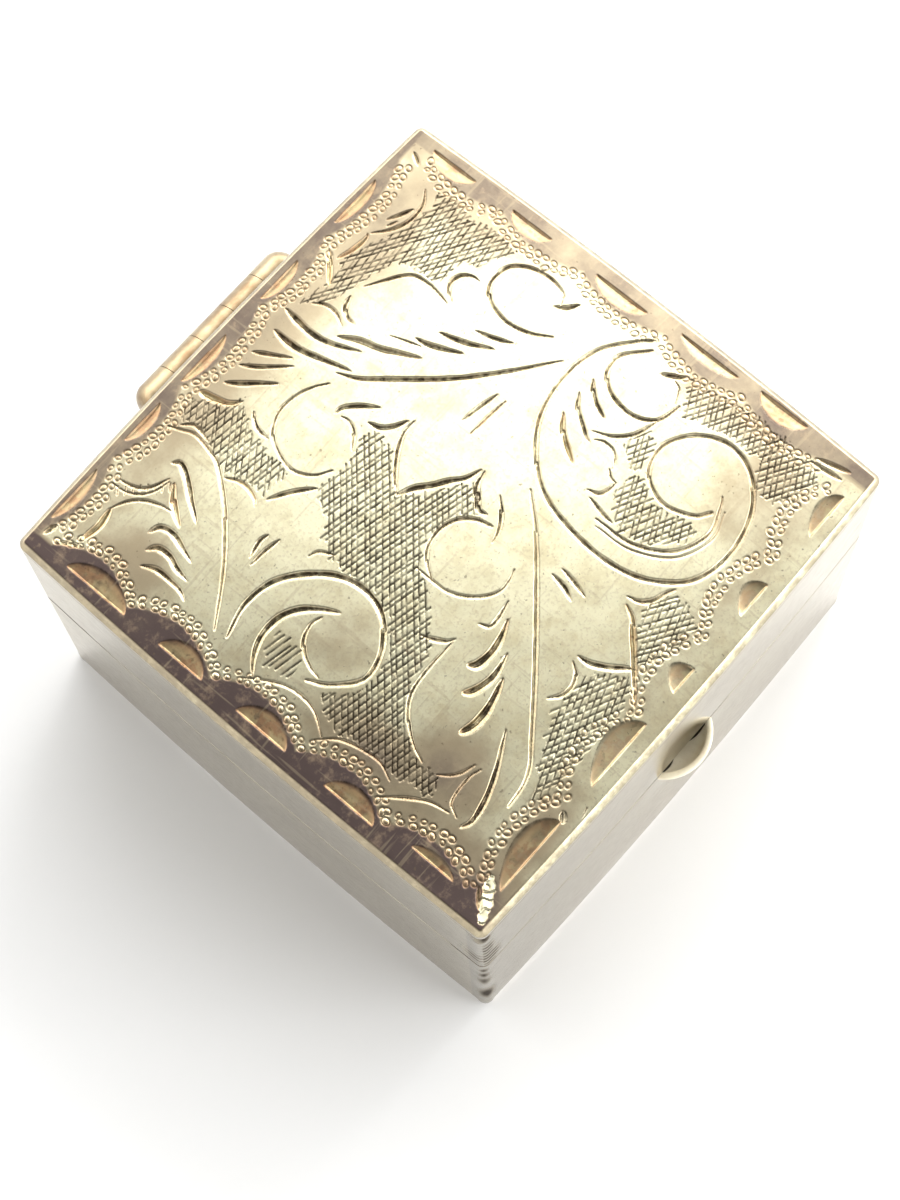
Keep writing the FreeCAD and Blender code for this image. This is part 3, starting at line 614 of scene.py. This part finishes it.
def build_mesh(name, vertices, faces):
    """A smooth mesh from vertices in mm and an array of quads."""
    mesh = bpy.data.meshes.new(name)
    mesh.from_pydata((vertices * MM).tolist(), [], faces.tolist())
    mesh.validate()
    mesh.polygons.foreach_set("use_smooth", [True] * len(mesh.polygons))
    mesh.update()
    return add_object(name, mesh)


def grid_quads(count):
    """The quads of a square grid with count cells a side."""
    corner = (np.arange(count)[:, None] * (count + 1) + np.arange(count)).ravel()
    return np.stack([corner, corner + 1, corner + count + 2, corner + count + 1], -1)


def border_loop(count):
    """Grid indices of the outer ring of a square grid with count cells a side, going anticlockwise."""
    side = np.arange(count)
    width = count + 1
    bottom = side
    right = side * width + count
    top = count * width + (count - side)
    left = (count - side) * width
    return np.concatenate([bottom, right, top, left])


def fast_grid_mesh(name, x, y, z, rings_below):
    """The engraved plate: a fine grid on top, a side, and an underside made of rings."""
    count = x.shape[0] - 1
    top = np.stack([x, y, z], -1).reshape(-1, 3)
    loop = border_loop(count)
    ring_size = len(loop)
    vertices = np.vstack([top, *rings_below])
    quads = [grid_quads(count)]
    previous = loop
    offset = len(top)
    for ring in rings_below[:-1]:
        current = offset + np.arange(ring_size)
        quads.append(np.stack([previous, current, np.roll(current, -1), np.roll(previous, -1)], -1))
        previous = current
        offset += ring_size
    quads = np.vstack(quads)
    fan = np.stack([previous, np.full(ring_size, offset), np.roll(previous, -1)], -1)
    mesh = bpy.data.meshes.new(name)
    mesh.vertices.add(len(vertices))
    mesh.vertices.foreach_set("co", (vertices * MM).astype(np.float32).ravel())
    corners = np.concatenate([quads.ravel(), fan.ravel()]).astype(np.int32)
    starts = np.concatenate([np.arange(len(quads)) * 4, len(quads) * 4 + np.arange(len(fan)) * 3])
    mesh.loops.add(len(corners))
    mesh.loops.foreach_set("vertex_index", corners)
    mesh.polygons.add(len(starts))
    mesh.polygons.foreach_set("loop_start", starts.astype(np.int32))
    mesh.polygons.foreach_set("use_smooth", np.ones(len(starts), bool))
    mesh.update(calc_edges=True)
    return add_object(name, mesh), len(top), count * count


def outline_ring(inset, count):
    """The border of the grid at this inset, as x and y in mm."""
    loop = border_loop(count)
    unit = np.linspace(-1, 1, count + 1)
    s, t = np.meshgrid(unit, unit)
    x, y = bowed_square(s.ravel()[loop], t.ravel()[loop], inset)
    return x, y


edge_x, edge_y = outline_ring(0.0, CELLS)
rings = []
for height in (LID_EDGE_HEIGHT - BEVEL - 0.06, PLATE_UNDERSIDE + 0.004):
    rings.append(np.stack([edge_x, edge_y, np.full_like(edge_x, height)], -1))
RING_COUNT = 14
for k in range(RING_COUNT):
    share = 1 - k / RING_COUNT
    rx, ry = edge_x * share, edge_y * share
    under = dome(rx, ry) - PLATE_THICKNESS if k else np.full_like(rx, PLATE_UNDERSIDE)
    rings.append(np.stack([rx, ry, under], -1))
rings.append(np.array([[0.0, 0.0, CROWN_HEIGHT - PLATE_THICKNESS]]))
lid_top, top_count, top_faces = fast_grid_mesh("lid_top_engraved", X, Y, Z, rings)
spare = len(lid_top.data.vertices) - top_count
for name, values in (("soot", soot * keep_clear), ("gold", gold * keep_clear), ("tarnish", tarnish),
                     ("cut", np.clip(cut_depth / FULL_CUT, 0, 1) * keep_clear), ("edge", polished_edge)):
    add_attribute(lid_top.data, name, np.concatenate([values.ravel(), np.zeros(spare)]))


# ---- walls
WALL_CELLS = 240


def wall_ring(name, outer_profile, inner_profile, shape):
    """A closed band. Profiles are lists of (inset, height) from the bottom of each face to its top."""
    path = list(outer_profile) + list(reversed(inner_profile))
    vertices = []
    for inset, height in path:
        x, y = outline_ring(inset, WALL_CELLS)
        vertices.append(np.stack(shape(x, y, np.full_like(x, height)), -1))
    size = len(vertices[0])
    faces = []
    for k in range(len(path)):
        a = k * size + np.arange(size)
        b = ((k + 1) % len(path)) * size + np.arange(size)
        faces.append(np.stack([a, np.roll(a, -1), np.roll(b, -1), b], -1))
    return build_mesh(name, np.vstack(vertices), np.vstack(faces))


cup_middle = (cup_low[0] + cup_high[0]) / 2
NOTCH_HALF = 1.6
NOTCH_DEPTH = 1.0
NOTCH_RADIUS = (NOTCH_HALF**2 + NOTCH_DEPTH**2) / (2 * NOTCH_DEPTH)


def nail_notch(x, y, z):
    """Lowers the top of the base's front wall in an arc where the thumb cup stands."""
    off = np.clip(np.abs(x - cup_middle), 0, NOTCH_HALF)
    drop = NOTCH_DEPTH - NOTCH_RADIUS + np.sqrt(NOTCH_RADIUS**2 - off**2)
    share = np.clip((z - (base_wall_high[2] - 2 * NOTCH_DEPTH)) / (2 * NOTCH_DEPTH), 0, 1)
    return x, y, z - share * drop * (y < 0)


CORNER_COVER = 0.0018


def base_shape(x, y, z):
    """The nail notch, and corners a hair fuller at the foot, where they cover the floor plate."""
    x, y, z = nail_notch(x, y, z)
    at_corner = np.minimum(np.abs(x), np.abs(y)) > HALF_SIDE - 0.7
    swell = 1 + CORNER_COVER * at_corner * (z < floor_high[2] + 0.3)
    return x * swell, y * swell, z


def round_front_left(x, y):
    """Distance from the front left corner: to the right along the front, negative along the left side."""
    corner = HALF_SIDE - SIDE_BOW
    return np.where(y < x, x + corner, -(y + corner))


PIT_HEIGHT = 14.95


def corner_pit(x, y, z):
    """A small hollow in the lid's front left corner, where the solder never filled the joint."""
    along = round_front_left(x, y)
    near = np.exp(-((along / 0.36) ** 4) - ((z - PIT_HEIGHT - 0.5 * along) / 0.3) ** 4)
    inward = 0.25 * near * (edge_distance(x, y) < 0.02)
    return x - np.sign(x) * inward, y - np.sign(y) * inward, z


def levels(low, high, count):
    return [low + (high - low) * k / count for k in range(count + 1)]


SEAM_ROUND = 0.05
SEAM_MIDDLE = (base_wall_high[2] + lid_wall_low[2]) / 2
base_top = base_wall_high[2]
foot = floor_low[2]
base_outer = [(0.18, foot), (0.07, foot + 0.04), (0.0, foot + 0.2)]
base_outer += [(0.0, z) for z in levels(foot + 0.4, base_top - 0.2, 34)]
base_outer += [(0.0, base_top - SEAM_ROUND), (0.015, base_top - 0.015), (SEAM_ROUND, base_top)]
base_inner = [(WALL_THICKNESS_BASE, floor_high[2] - 0.02), (WALL_THICKNESS_BASE, base_top - 1.3)]
base_inner += [(WALL_THICKNESS_BASE, base_top - 0.05), (WALL_THICKNESS_BASE - 0.05, base_top)]
base_wall = wall_ring("base_wall_satin", base_outer, base_inner, base_shape)

lid_low, lid_high = lid_wall_low[2], lid_wall_high[2]
lid_outer = [(SEAM_ROUND, lid_low), (0.015, lid_low + 0.015), (0.0, lid_low + SEAM_ROUND)]
lid_outer += [(0.0, z) for z in levels(lid_low + 0.2, lid_high, 34)]
lid_inner = [(WALL_THICKNESS_LID - 0.05, lid_low), (WALL_THICKNESS_LID, lid_low + 0.05)]
lid_inner += [(WALL_THICKNESS_LID, lid_high)]
lid_wall = wall_ring("lid_wall_satin", lid_outer, lid_inner, corner_pit)

# Dirt on the front left corner: distance from the corner, height, reach along, reach up, strength
CORNER_DIRT = [
    (0.0, PIT_HEIGHT, 0.36, 0.3, 1.6), (0.45, 10.8, 0.4, 0.9, 1.5), (0.35, 12.8, 0.3, 1.0, 0.9),
    (-0.5, 10.8, 0.5, 1.0, 0.45), (0.0, 8.3, 0.2, 0.3, 0.8), (0.0, 7.2, 0.24, 0.4, 0.8),
    (0.0, 5.8, 0.3, 0.6, 0.6), (0.08, 2.7, 0.34, 0.8, 1.0),
]
DIRT_GAIN = 1.7


def wall_dirt_and_shade(x, y, z):
    """Grime on the walls round the front left corner, and painted shade filling the nail notch."""
    along = round_front_left(x, y)
    near_corner = (x + y) < -2 * HALF_SIDE + 5
    dirt_and_shade = np.zeros_like(x)
    for place, height, wide, tall, strength in CORNER_DIRT:
        spot = strength * np.exp(-(((along - place) / wide) ** 2) - (((z - height) / tall) ** 2))
        dirt_and_shade = np.maximum(dirt_and_shade, np.clip(DIRT_GAIN * spot, 0, 1) * near_corner)
    file_marks = 0.5 + 0.5 * np.sin(z * 11.0 + along * 2.0)
    dirt_and_shade = dirt_and_shade * np.where((z > lid_low + 0.3) & (z < PIT_HEIGHT - 0.6), file_marks, 1.0)
    # The nail notch is painted black: painted shade in the recess
    inside_notch = (np.abs(x - cup_middle) < NOTCH_HALF) & (y < 0) & (y > -HALF_SIDE + 0.01)
    return np.maximum(dirt_and_shade, inside_notch & (z > base_top - NOTCH_DEPTH - 0.1) & (z <= base_top))


def wall_shade(x, y):
    """Painted shade that fades along the front wall from its left end."""
    return smoothstep(0, -HALF_SIDE, x) * (y < -HALF_SIDE + 1) * 0.7


FAINT_SEAM = 0.12
PLAIN_SEAM = 0.75


def seam_strength(x, y):
    """How clear the dark line of the seam is: clear at the ends of the left side, faint in its middle."""
    left = np.maximum(smoothstep(5, 11, y), smoothstep(-10.6, -11.4, y))
    beside_cup = 0.5 * np.exp(-(((np.abs(x - cup_middle) - 2) / 0.9) ** 2))
    front = np.maximum(smoothstep(-12.3, -12.7, x), beside_cup)
    strength = np.where(x < -HALF_SIDE + 1, FAINT_SEAM + (1 - FAINT_SEAM) * left, PLAIN_SEAM)
    return np.where(y < -HALF_SIDE + 1, FAINT_SEAM + (1 - FAINT_SEAM) * front, strength)


def cup_polish(x, y, z):
    """Fingers keep the front wall bright round the thumb cup."""
    across, up = (x - cup_middle) / 2.6, (z - SEAM_MIDDLE) / 3.0
    return np.exp(-(across**2) - up**2) * (y < -HALF_SIDE + 1)


for wall in (base_wall, lid_wall):
    places = np.empty(len(wall.data.vertices) * 3, np.float32)
    wall.data.vertices.foreach_get("co", places)
    wx, wy, wz = places.reshape(-1, 3).astype(float).T / MM
    add_attribute(wall.data, "dirt_and_shade", wall_dirt_and_shade(wx, wy, wz))
    add_attribute(wall.data, "shade", wall_shade(wx, wy))
    add_attribute(wall.data, "seam", seam_strength(wx, wy))
    add_attribute(wall.data, "polish", cup_polish(wx, wy, wz))


# ---- thumb cup
CUP_THICKNESS = 0.3
# How deep the inside is, as a share of the outside
DISH_SHARE = 0.64
CUP_STEPS = 96
ARC_STEPS = 12
RIM_STEPS = 8


def cup_profile(outer):
    """Radius and height of the bowl: under the outside, over the round rim and down the inside."""
    half = CUP_THICKNESS / 2
    inner = outer - CUP_THICKNESS
    profile = []
    for k in range(ARC_STEPS + 1):
        turn = math.pi / 2 * k / ARC_STEPS
        profile.append((outer * math.sin(turn), -outer * math.cos(turn) - half))
    for k in range(1, RIM_STEPS):
        turn = math.pi * k / RIM_STEPS
        profile.append((outer - half + half * math.cos(turn), half * math.sin(turn) - half))
    for k in range(ARC_STEPS + 1):
        turn = math.pi / 2 * (ARC_STEPS - k) / ARC_STEPS
        profile.append((inner * math.sin(turn), DISH_SHARE * -inner * math.cos(turn) - half))
    return profile


def thumb_cup_bowl():
    """Half a thin bowl with a rounded rim, cut off inside the wall's thickness."""
    rim_height = cup_high[2]
    half_chord = (cup_high[0] - cup_low[0]) / 2
    standing_out = base_wall_low[1] - cup_low[1]
    outer = (half_chord**2 + standing_out**2) / (2 * standing_out)
    middle_y = cup_low[1] + outer
    profile = cup_profile(outer)
    lowest = min(z for r, z in profile)
    floor_room = cup_low[2] - rim_height
    profile = [(r, z * floor_room / lowest if z < 0 else z) for r, z in profile]
    mesh = bmesh.new()
    rows = []
    for r, z in profile:
        row = []
        for k in range(CUP_STEPS):
            turn = 2 * math.pi * k / CUP_STEPS
            wave = 1 + 0.006 * math.sin(3 * turn + 1) + 0.004 * math.sin(7 * turn)
            place = (cup_middle + r * wave * math.cos(turn), middle_y + r * math.sin(turn), rim_height + z)
            row.append(mesh.verts.new([c * MM for c in place]))
        rows.append(row)
    for low, high in zip(rows[:-1], rows[1:]):
        for k in range(CUP_STEPS):
            n = (k + 1) % CUP_STEPS
            mesh.faces.new([low[k], low[n], high[n], high[k]])
    bmesh.ops.remove_doubles(mesh, verts=mesh.verts, dist=1e-7)
    everything = mesh.verts[:] + mesh.edges[:] + mesh.faces[:]
    plane = (0, (base_wall_low[1] + CUP_THICKNESS) * MM, 0)
    bmesh.ops.bisect_plane(mesh, geom=everything, plane_co=plane, plane_no=(0, 1, 0), clear_outer=True)
    bmesh.ops.holes_fill(mesh, edges=[e for e in mesh.edges if e.is_boundary])
    bmesh.ops.recalc_face_normals(mesh, faces=mesh.faces)
    data = bpy.data.meshes.new("thumb_cup_bowl")
    mesh.to_mesh(data)
    mesh.free()
    data.polygons.foreach_set("use_smooth", [True] * len(data.polygons))
    return add_object("thumb_cup_bowl", data)


cup = thumb_cup_bowl()


# ---- materials
class Recipe:
    """Adds shader nodes to one tree. Every input is a value or another node's output."""

    def __init__(self, tree, coordinates):
        self.tree = tree
        self.place = self.node("ShaderNodeTexCoord").outputs[coordinates]

    def node(self, kind, settings=None, inputs=None):
        made = self.tree.nodes.new(kind)
        for name, value in (settings or {}).items():
            setattr(made, name, value)
        for name, value in (inputs or {}).items():
            socket = made.inputs[name]
            if isinstance(value, bpy.types.NodeSocket):
                self.tree.links.new(value, socket)
            else:
                socket.default_value = value
        return made

    def blend(self, share, first, second):
        """Mixes two colours."""
        return self.node("ShaderNodeMix", {"data_type": "RGBA"}, {0: share, 6: first, 7: second}).outputs[2]

    def calc(self, operation, first, second=0.0):
        return self.node("ShaderNodeMath", {"operation": operation}, {0: first, 1: second}).outputs[0]

    def times(self, first, second):
        return self.calc("MULTIPLY", first, second)

    def plus(self, first, second):
        return self.calc("ADD", first, second)

    def largest(self, first, second):
        return self.calc("MAXIMUM", first, second)

    def spread(self, value, low, high, to_low=0.0, to_high=1.0):
        """Maps low to high smoothly onto to_low to to_high, and holds the ends beyond them."""
        limits = {0: value, 1: low, 2: high, 3: to_low, 4: to_high}
        settings = {"clamp": True, "interpolation_type": "SMOOTHSTEP"}
        return self.node("ShaderNodeMapRange", settings, limits).outputs[0]

    def noise(self, scale, detail, rough, stretch=None):
        place = self.place
        if stretch is not None:
            place = self.node("ShaderNodeMapping", None, {"Vector": place, "Scale": stretch}).outputs[0]
        inputs = {"Vector": place, "Scale": scale, "Detail": detail, "Roughness": rough}
        return self.node("ShaderNodeTexNoise", None, inputs).outputs[0]

    def attribute(self, name):
        return self.node("ShaderNodeAttribute", {"attribute_name": name}).outputs["Fac"]

    def axes(self):
        """The x, y and z of the coordinates."""
        return self.node("ShaderNodeSeparateXYZ", None, {"Vector": self.place}).outputs


def start_material(name):
    material = bpy.data.materials.new(name)
    material.use_nodes = True
    shader = material.node_tree.nodes["Principled BSDF"]
    shader.inputs["Metallic"].default_value = 1.0
    return material, shader, Recipe(material.node_tree, "Object")


def finish_material(recipe, shader, colour, roughness, bumps):
    """Links colour and roughness, and chains bumps of (height, distance in mm, strength)."""
    links = recipe.tree.links
    links.new(colour, shader.inputs["Base Color"])
    links.new(roughness, shader.inputs["Roughness"])
    normal = None
    for height, distance, strength in bumps:
        inputs = {"Height": height, "Distance": distance * MM, "Strength": strength}
        made = recipe.node("ShaderNodeBump", None, inputs)
        if normal is not None:
            links.new(normal, made.inputs["Normal"])
        normal = made.outputs[0]
    links.new(normal, shader.inputs["Normal"])


CLEAN = (0.90, 0.855, 0.60, 1)
WARM = (0.66, 0.58, 0.36, 1)
BEIGE = (0.50, 0.41, 0.27, 1)
PURPLE = (0.105, 0.075, 0.075, 1)
BROWN = (0.26, 0.19, 0.14, 1)
GOLD = (0.74, 0.60, 0.32, 1)
COPPER = (0.56, 0.31, 0.16, 1)
DARK_COPPER = (0.2, 0.13, 0.06, 1)
BLACK = (0.03, 0.02, 0.012, 1)
LID_SPECK = (0.2, 0.15, 0.1, 1)
WALL_SPECK = (0.22, 0.17, 0.12, 1)
WORN_RIM = (0.33, 0.28, 0.2, 1)
PAINTED_FOOT_SHADOW = (0.3, 0.24, 0.2, 1)
PAINTED_WALL_SHADE = (0.28, 0.25, 0.20, 1)


def engraved_silver():
    """The lid's top: clean metal, tarnish, gilt and sooty cuts, specks, scratches and a worn rim."""
    material, shader, r = start_material("engraved_silver")
    clouds = r.noise(420, 5, 0.65)
    fine_clouds = r.noise(1900, 4, 0.7)
    grains = r.noise(7000, 3, 0.6)
    scratch_a = r.noise(2600, 2, 0.5, (0.08, 1.8, 1))
    scratch_b = r.noise(2400, 2, 0.5, (1.7, 0.1, 1))
    warmth = r.spread(r.plus(r.times(clouds, 0.6), r.times(fine_clouds, 0.4)), 0.42, 0.66)
    colour = r.blend(r.times(warmth, 0.75), CLEAN, WARM)
    colour = r.blend(r.spread(grains, 0.5, 0.66, 0.0, 0.34), colour, BEIGE)
    tarnish_share = r.attribute("tarnish")
    cloudy = r.plus(tarnish_share, r.times(r.calc("SUBTRACT", clouds, 0.5), 0.55))
    touched = r.spread(tarnish_share, 0.02, 0.2)
    light_stain = r.times(r.spread(cloudy, 0.05, 0.5), touched)
    worn = r.times(r.spread(cloudy, 0.45, 1.0), touched)
    colour = r.blend(r.times(light_stain, 0.95), colour, BEIGE)
    dull = r.blend(r.spread(fine_clouds, 0.5, 0.72), PURPLE, BROWN)
    colour = r.blend(r.times(worn, 0.95), colour, dull)
    rim = r.calc("SUBTRACT", 1.0, r.attribute("cut"))
    copper_share = r.largest(rim, r.spread(r.noise(1100, 4, 0.65), 0.46, 0.6, 0.0, 0.85))
    copper_share = r.times(copper_share, r.spread(tarnish_share, 0.05, 0.6, 0.85, 1.0))
    gilt = r.blend(copper_share, GOLD, COPPER)
    gilt = r.blend(r.spread(r.noise(2700, 3, 0.6), 0.58, 0.7, 0.0, 0.6), gilt, DARK_COPPER)
    gold_share = r.times(r.attribute("gold"), r.spread(fine_clouds, 0.3, 0.55, 0.55, 1.0))
    colour = r.blend(r.times(gold_share, 0.8), colour, gilt)
    soot_share = r.times(r.attribute("soot"), r.spread(r.noise(2300, 3, 0.6), 0.36, 0.56, 0.42, 1.0))
    colour = r.blend(r.times(soot_share, 0.92), colour, BLACK)
    specks = r.spread(r.noise(5200, 2, 0.5), 0.69, 0.74)
    colour = r.blend(r.times(specks, 0.6), colour, LID_SPECK)
    scratches = r.largest(r.spread(scratch_a, 0.62, 0.7), r.spread(scratch_b, 0.62, 0.7))
    colour = r.blend(r.times(scratches, 0.3), colour, BEIGE)
    rough = r.plus(0.25, r.times(fine_clouds, 0.16))
    rough = r.plus(rough, r.times(worn, 0.16))
    worn_edge = r.times(r.attribute("edge"), r.spread(fine_clouds, 0.35, 0.6, 0.4, 0.85))
    colour = r.blend(worn_edge, colour, WORN_RIM)
    bumps = [(scratch_a, 0.004, 0.35), (scratch_b, 0.004, 0.3), (fine_clouds, 0.006, 0.4),
             (grains, 0.003, 0.5)]
    finish_material(r, shader, colour, rough, bumps)
    return material


def satin_silver(name, clean, warm, line_scale, stain_share, roughness, grime_and_shade):
    """Plain silver with fine lines, faint stains and specks; for the walls also grime, and painted shade at
    the foot, at the front wall's left end and in the nail notch.
    """
    material, shader, r = start_material(name)
    lines = r.noise(1.0, 3, 0.6, line_scale)
    clouds = r.noise(330, 5, 0.65)
    fine = r.noise(2400, 3, 0.6)
    share = r.spread(r.plus(r.times(clouds, 0.7), r.times(fine, 0.3)), 0.4, 0.68)
    colour = r.blend(r.times(share, stain_share * 1.6), clean, warm)
    colour = r.blend(r.times(r.spread(lines, 0.35, 0.7), 0.22), colour, warm)
    if grime_and_shade:
        height = r.axes()[2]
        # Painted shade: the walls darken towards the foot, standing in for the floor's contact shadow
        # mirrored in them
        colour = r.blend(r.spread(height, 0.0, 6 * MM, 0.2, 0.0), colour, PAINTED_FOOT_SHADOW)
        off_seam = r.calc("ABSOLUTE", r.calc("SUBTRACT", height, SEAM_MIDDLE * MM))
        at_seam = r.calc("SUBTRACT", 1.0, r.spread(off_seam, 0.05 * MM, 0.15 * MM))
        patchy = r.spread(r.noise(170, 3, 0.6), 0.36, 0.5, 0.6, 1.0)
        grime = r.times(at_seam, r.times(patchy, r.attribute("seam")))
        colour = r.blend(grime, colour, BLACK)
        # Painted shade along the front wall's left end
        colour = r.blend(r.attribute("shade"), colour, PAINTED_WALL_SHADE)
        # Corner dirt, and painted shade in the nail notch
        colour = r.blend(r.attribute("dirt_and_shade"), colour, BLACK)
    specks = r.spread(r.noise(4200, 2, 0.5), 0.72, 0.76)
    colour = r.blend(r.times(specks, 0.45), colour, WALL_SPECK)
    rough = r.plus(roughness - 0.06, r.times(fine, 0.14))
    if grime_and_shade:
        # Fingers polish the metal near the cup; dirt and the painted notch shade are rough and aren't metal
        rough = r.times(rough, r.spread(r.attribute("polish"), 0.1, 0.8, 1.0, 0.35))
        matt = r.largest(r.attribute("dirt_and_shade"), grime)
        rough = r.plus(rough, r.times(matt, 0.8))
        r.tree.links.new(r.calc("SUBTRACT", 1.0, matt), shader.inputs["Metallic"])
    bumps = [(lines, 0.006, 0.55), (fine, 0.003, 0.4), (clouds, 0.02, 0.25)]
    finish_material(r, shader, colour, rough, bumps)
    return material


def set_material(thing, material):
    thing.data.materials.clear()
    thing.data.materials.append(material)


# Clean colour, stained colour, scale of the fine lines, share of stain, roughness
SATIN_LOOKS = {
    "wall_silver": ((0.5, 0.45, 0.35, 1), (0.35, 0.3, 0.225, 1), (30, 30, 1400), 0.35, 0.18),
    "floor_silver": ((0.84, 0.80, 0.73, 1), (0.6, 0.5, 0.38, 1), (900, 24, 24), 0.35, 0.34),
    "bezel_silver": ((0.90, 0.87, 0.80, 1), (0.68, 0.58, 0.42, 1), (30, 30, 1100), 0.35, 0.34),
    "hinge_silver": ((0.45, 0.365, 0.23, 1), (0.26, 0.17, 0.09, 1), (40, 900, 900), 0.6, 0.3),
    "cup_silver": ((1.0, 0.94, 0.74, 1), (0.60, 0.47, 0.27, 1), (500, 500, 500), 0.5, 0.28),
    "pin_silver": ((0.72, 0.66, 0.56, 1), (0.45, 0.34, 0.2, 1), (60, 900, 900), 0.5, 0.3),
}
lid_material = engraved_silver()
satin = {name: satin_silver(name, *look, grime_and_shade=name == "wall_silver") for name, look in SATIN_LOOKS.items()}
# Not metallic, so that the cup looks pale and doesn't mirror the dark wall above it
satin["cup_silver"].node_tree.nodes["Principled BSDF"].inputs["Metallic"].default_value = 0.0

lid_top.data.materials.append(lid_material)
lid_top.data.materials.append(satin["wall_silver"])
lid_top.data.materials.append(satin["floor_silver"])
indices = np.zeros(len(lid_top.data.polygons), np.int32)
indices[top_faces:] = 1
indices[top_faces + 2 * len(edge_x):] = 2
lid_top.data.polygons.foreach_set("material_index", indices)
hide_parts("lid_top_plate")
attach(lid_top, "lid")

set_material(base_wall, satin["wall_silver"])
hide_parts("base_wall_band")
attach(base_wall, "base")
set_material(lid_wall, satin["wall_silver"])
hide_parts("lid_wall_band")
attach(lid_wall, "lid")
set_material(cup, satin["cup_silver"])
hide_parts("thumb_cup")
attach(cup, "base")

CAD_SLOTS = {
    "base_floor_plate": "floor_silver",
    "bezel_strip_front": "bezel_silver",
    "bezel_strip_left": "bezel_silver",
    "bezel_strip_right": "bezel_silver",
    "hinge_pin": "pin_silver",
    "base_knuckle_left": "hinge_silver",
    "base_knuckle_middle": "hinge_silver",
    "base_knuckle_right": "hinge_silver",
    "lid_knuckle_left": "hinge_silver",
    "lid_knuckle_right": "hinge_silver",
}
for name, slot_name in CAD_SLOTS.items():
    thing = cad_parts[name]
    set_material(thing, satin[slot_name])


# ---- floor, light and camera
FLOOR_HALF = 1600
FLOOR_CELLS = 60


def pale_floor():
    unit = np.linspace(-FLOOR_HALF, FLOOR_HALF, FLOOR_CELLS + 1)
    x, y = np.meshgrid(unit, unit)
    vertices = np.stack([x.ravel(), y.ravel(), np.zeros(x.size)], -1)
    thing = build_mesh("studio_floor", vertices, grid_quads(FLOOR_CELLS))
    material = bpy.data.materials.new("studio_floor")
    material.use_nodes = True
    shader = material.node_tree.nodes["Principled BSDF"]
    shader.inputs["Roughness"].default_value = 0.85
    r = Recipe(material.node_tree, "Object")
    grain = r.noise(900, 4, 0.6)
    colour = r.blend(grain, (0.93, 0.94, 0.94, 1), (0.96, 0.965, 0.965, 1))
    r.tree.links.new(colour, shader.inputs["Base Color"])
    bump = r.node("ShaderNodeBump", None, {"Height": grain, "Distance": 0.02 * MM, "Strength": 0.3})
    r.tree.links.new(bump.outputs[0], shader.inputs["Normal"])
    set_material(thing, material)
    return thing


studio_floor = pale_floor()

BOX_MIDDLE = Vector((0, 0, 8))


def softbox(name, place, side, power):
    """A square area light aimed at the box, with its place and side in mm and its power in watts."""
    data = bpy.data.lights.new(name, "AREA")
    data.shape = "SQUARE"
    data.size = side * MM
    data.energy = power
    lamp = add_object(name, data)
    lamp.location = Vector(place) * MM
    lamp.rotation_euler = (BOX_MIDDLE - Vector(place)).to_track_quat("-Z", "Y").to_euler()


softbox("key_softbox", (118, 100, 265), 150, 0.12)
softbox("side_softbox", (330, 60, 240), 260, 0.8)
softbox("fill_softbox", (150, -300, 190), 220, 0.5)


def studio_world():
    """A bright horizon, brightest to the right and back, under a dimmer sky."""
    world = bpy.data.worlds.new("studio_world")
    world.use_nodes = True
    background = world.node_tree.nodes["Background"]
    background.inputs["Color"].default_value = (1.0, 0.99, 0.975, 1)
    r = Recipe(world.node_tree, "Generated")
    x, y, z = r.axes()
    lean = r.plus(x, r.times(y, 0.5))
    overhead = r.spread(lean, -0.12, 0.36, 0.09, 0.6)
    horizon = r.spread(lean, -1.0, 1.0, 1.45, 4.7)
    share = r.spread(z, 0.34, 0.7)
    level = r.node("ShaderNodeMix", {"data_type": "FLOAT"}, {0: share, 2: horizon, 3: overhead})
    r.tree.links.new(level.outputs[0], background.inputs["Strength"])
    return world


bpy.context.scene.world = studio_world()
bpy.context.scene.view_settings.view_transform = "Standard"

# The camera looks down steeply over the front left corner, as in the photograph
CAMERA_PLACE = (-26.23, -26.39, 117.14)
CAMERA_RIGHT = Vector((0.6558, -0.7544, -0.0264))
CAMERA_BACK = Vector((-0.2187, -0.2234, 0.9499)).normalized()
camera_up = CAMERA_BACK.cross(CAMERA_RIGHT).normalized()
camera_right = camera_up.cross(CAMERA_BACK).normalized()
camera_data = bpy.data.cameras.new("camera")
camera_data.lens = 78.0
camera_data.sensor_width = 36.0
camera_data.clip_start = 0.01
camera_data.clip_end = 10.0
camera = add_object("camera", camera_data)
turn = Matrix((camera_right, camera_up, CAMERA_BACK)).transposed().to_4x4()
camera.matrix_world = Matrix.Translation(Vector(CAMERA_PLACE) * MM) @ turn
bpy.context.scene.camera = camera

bpy.context.view_layer.update()
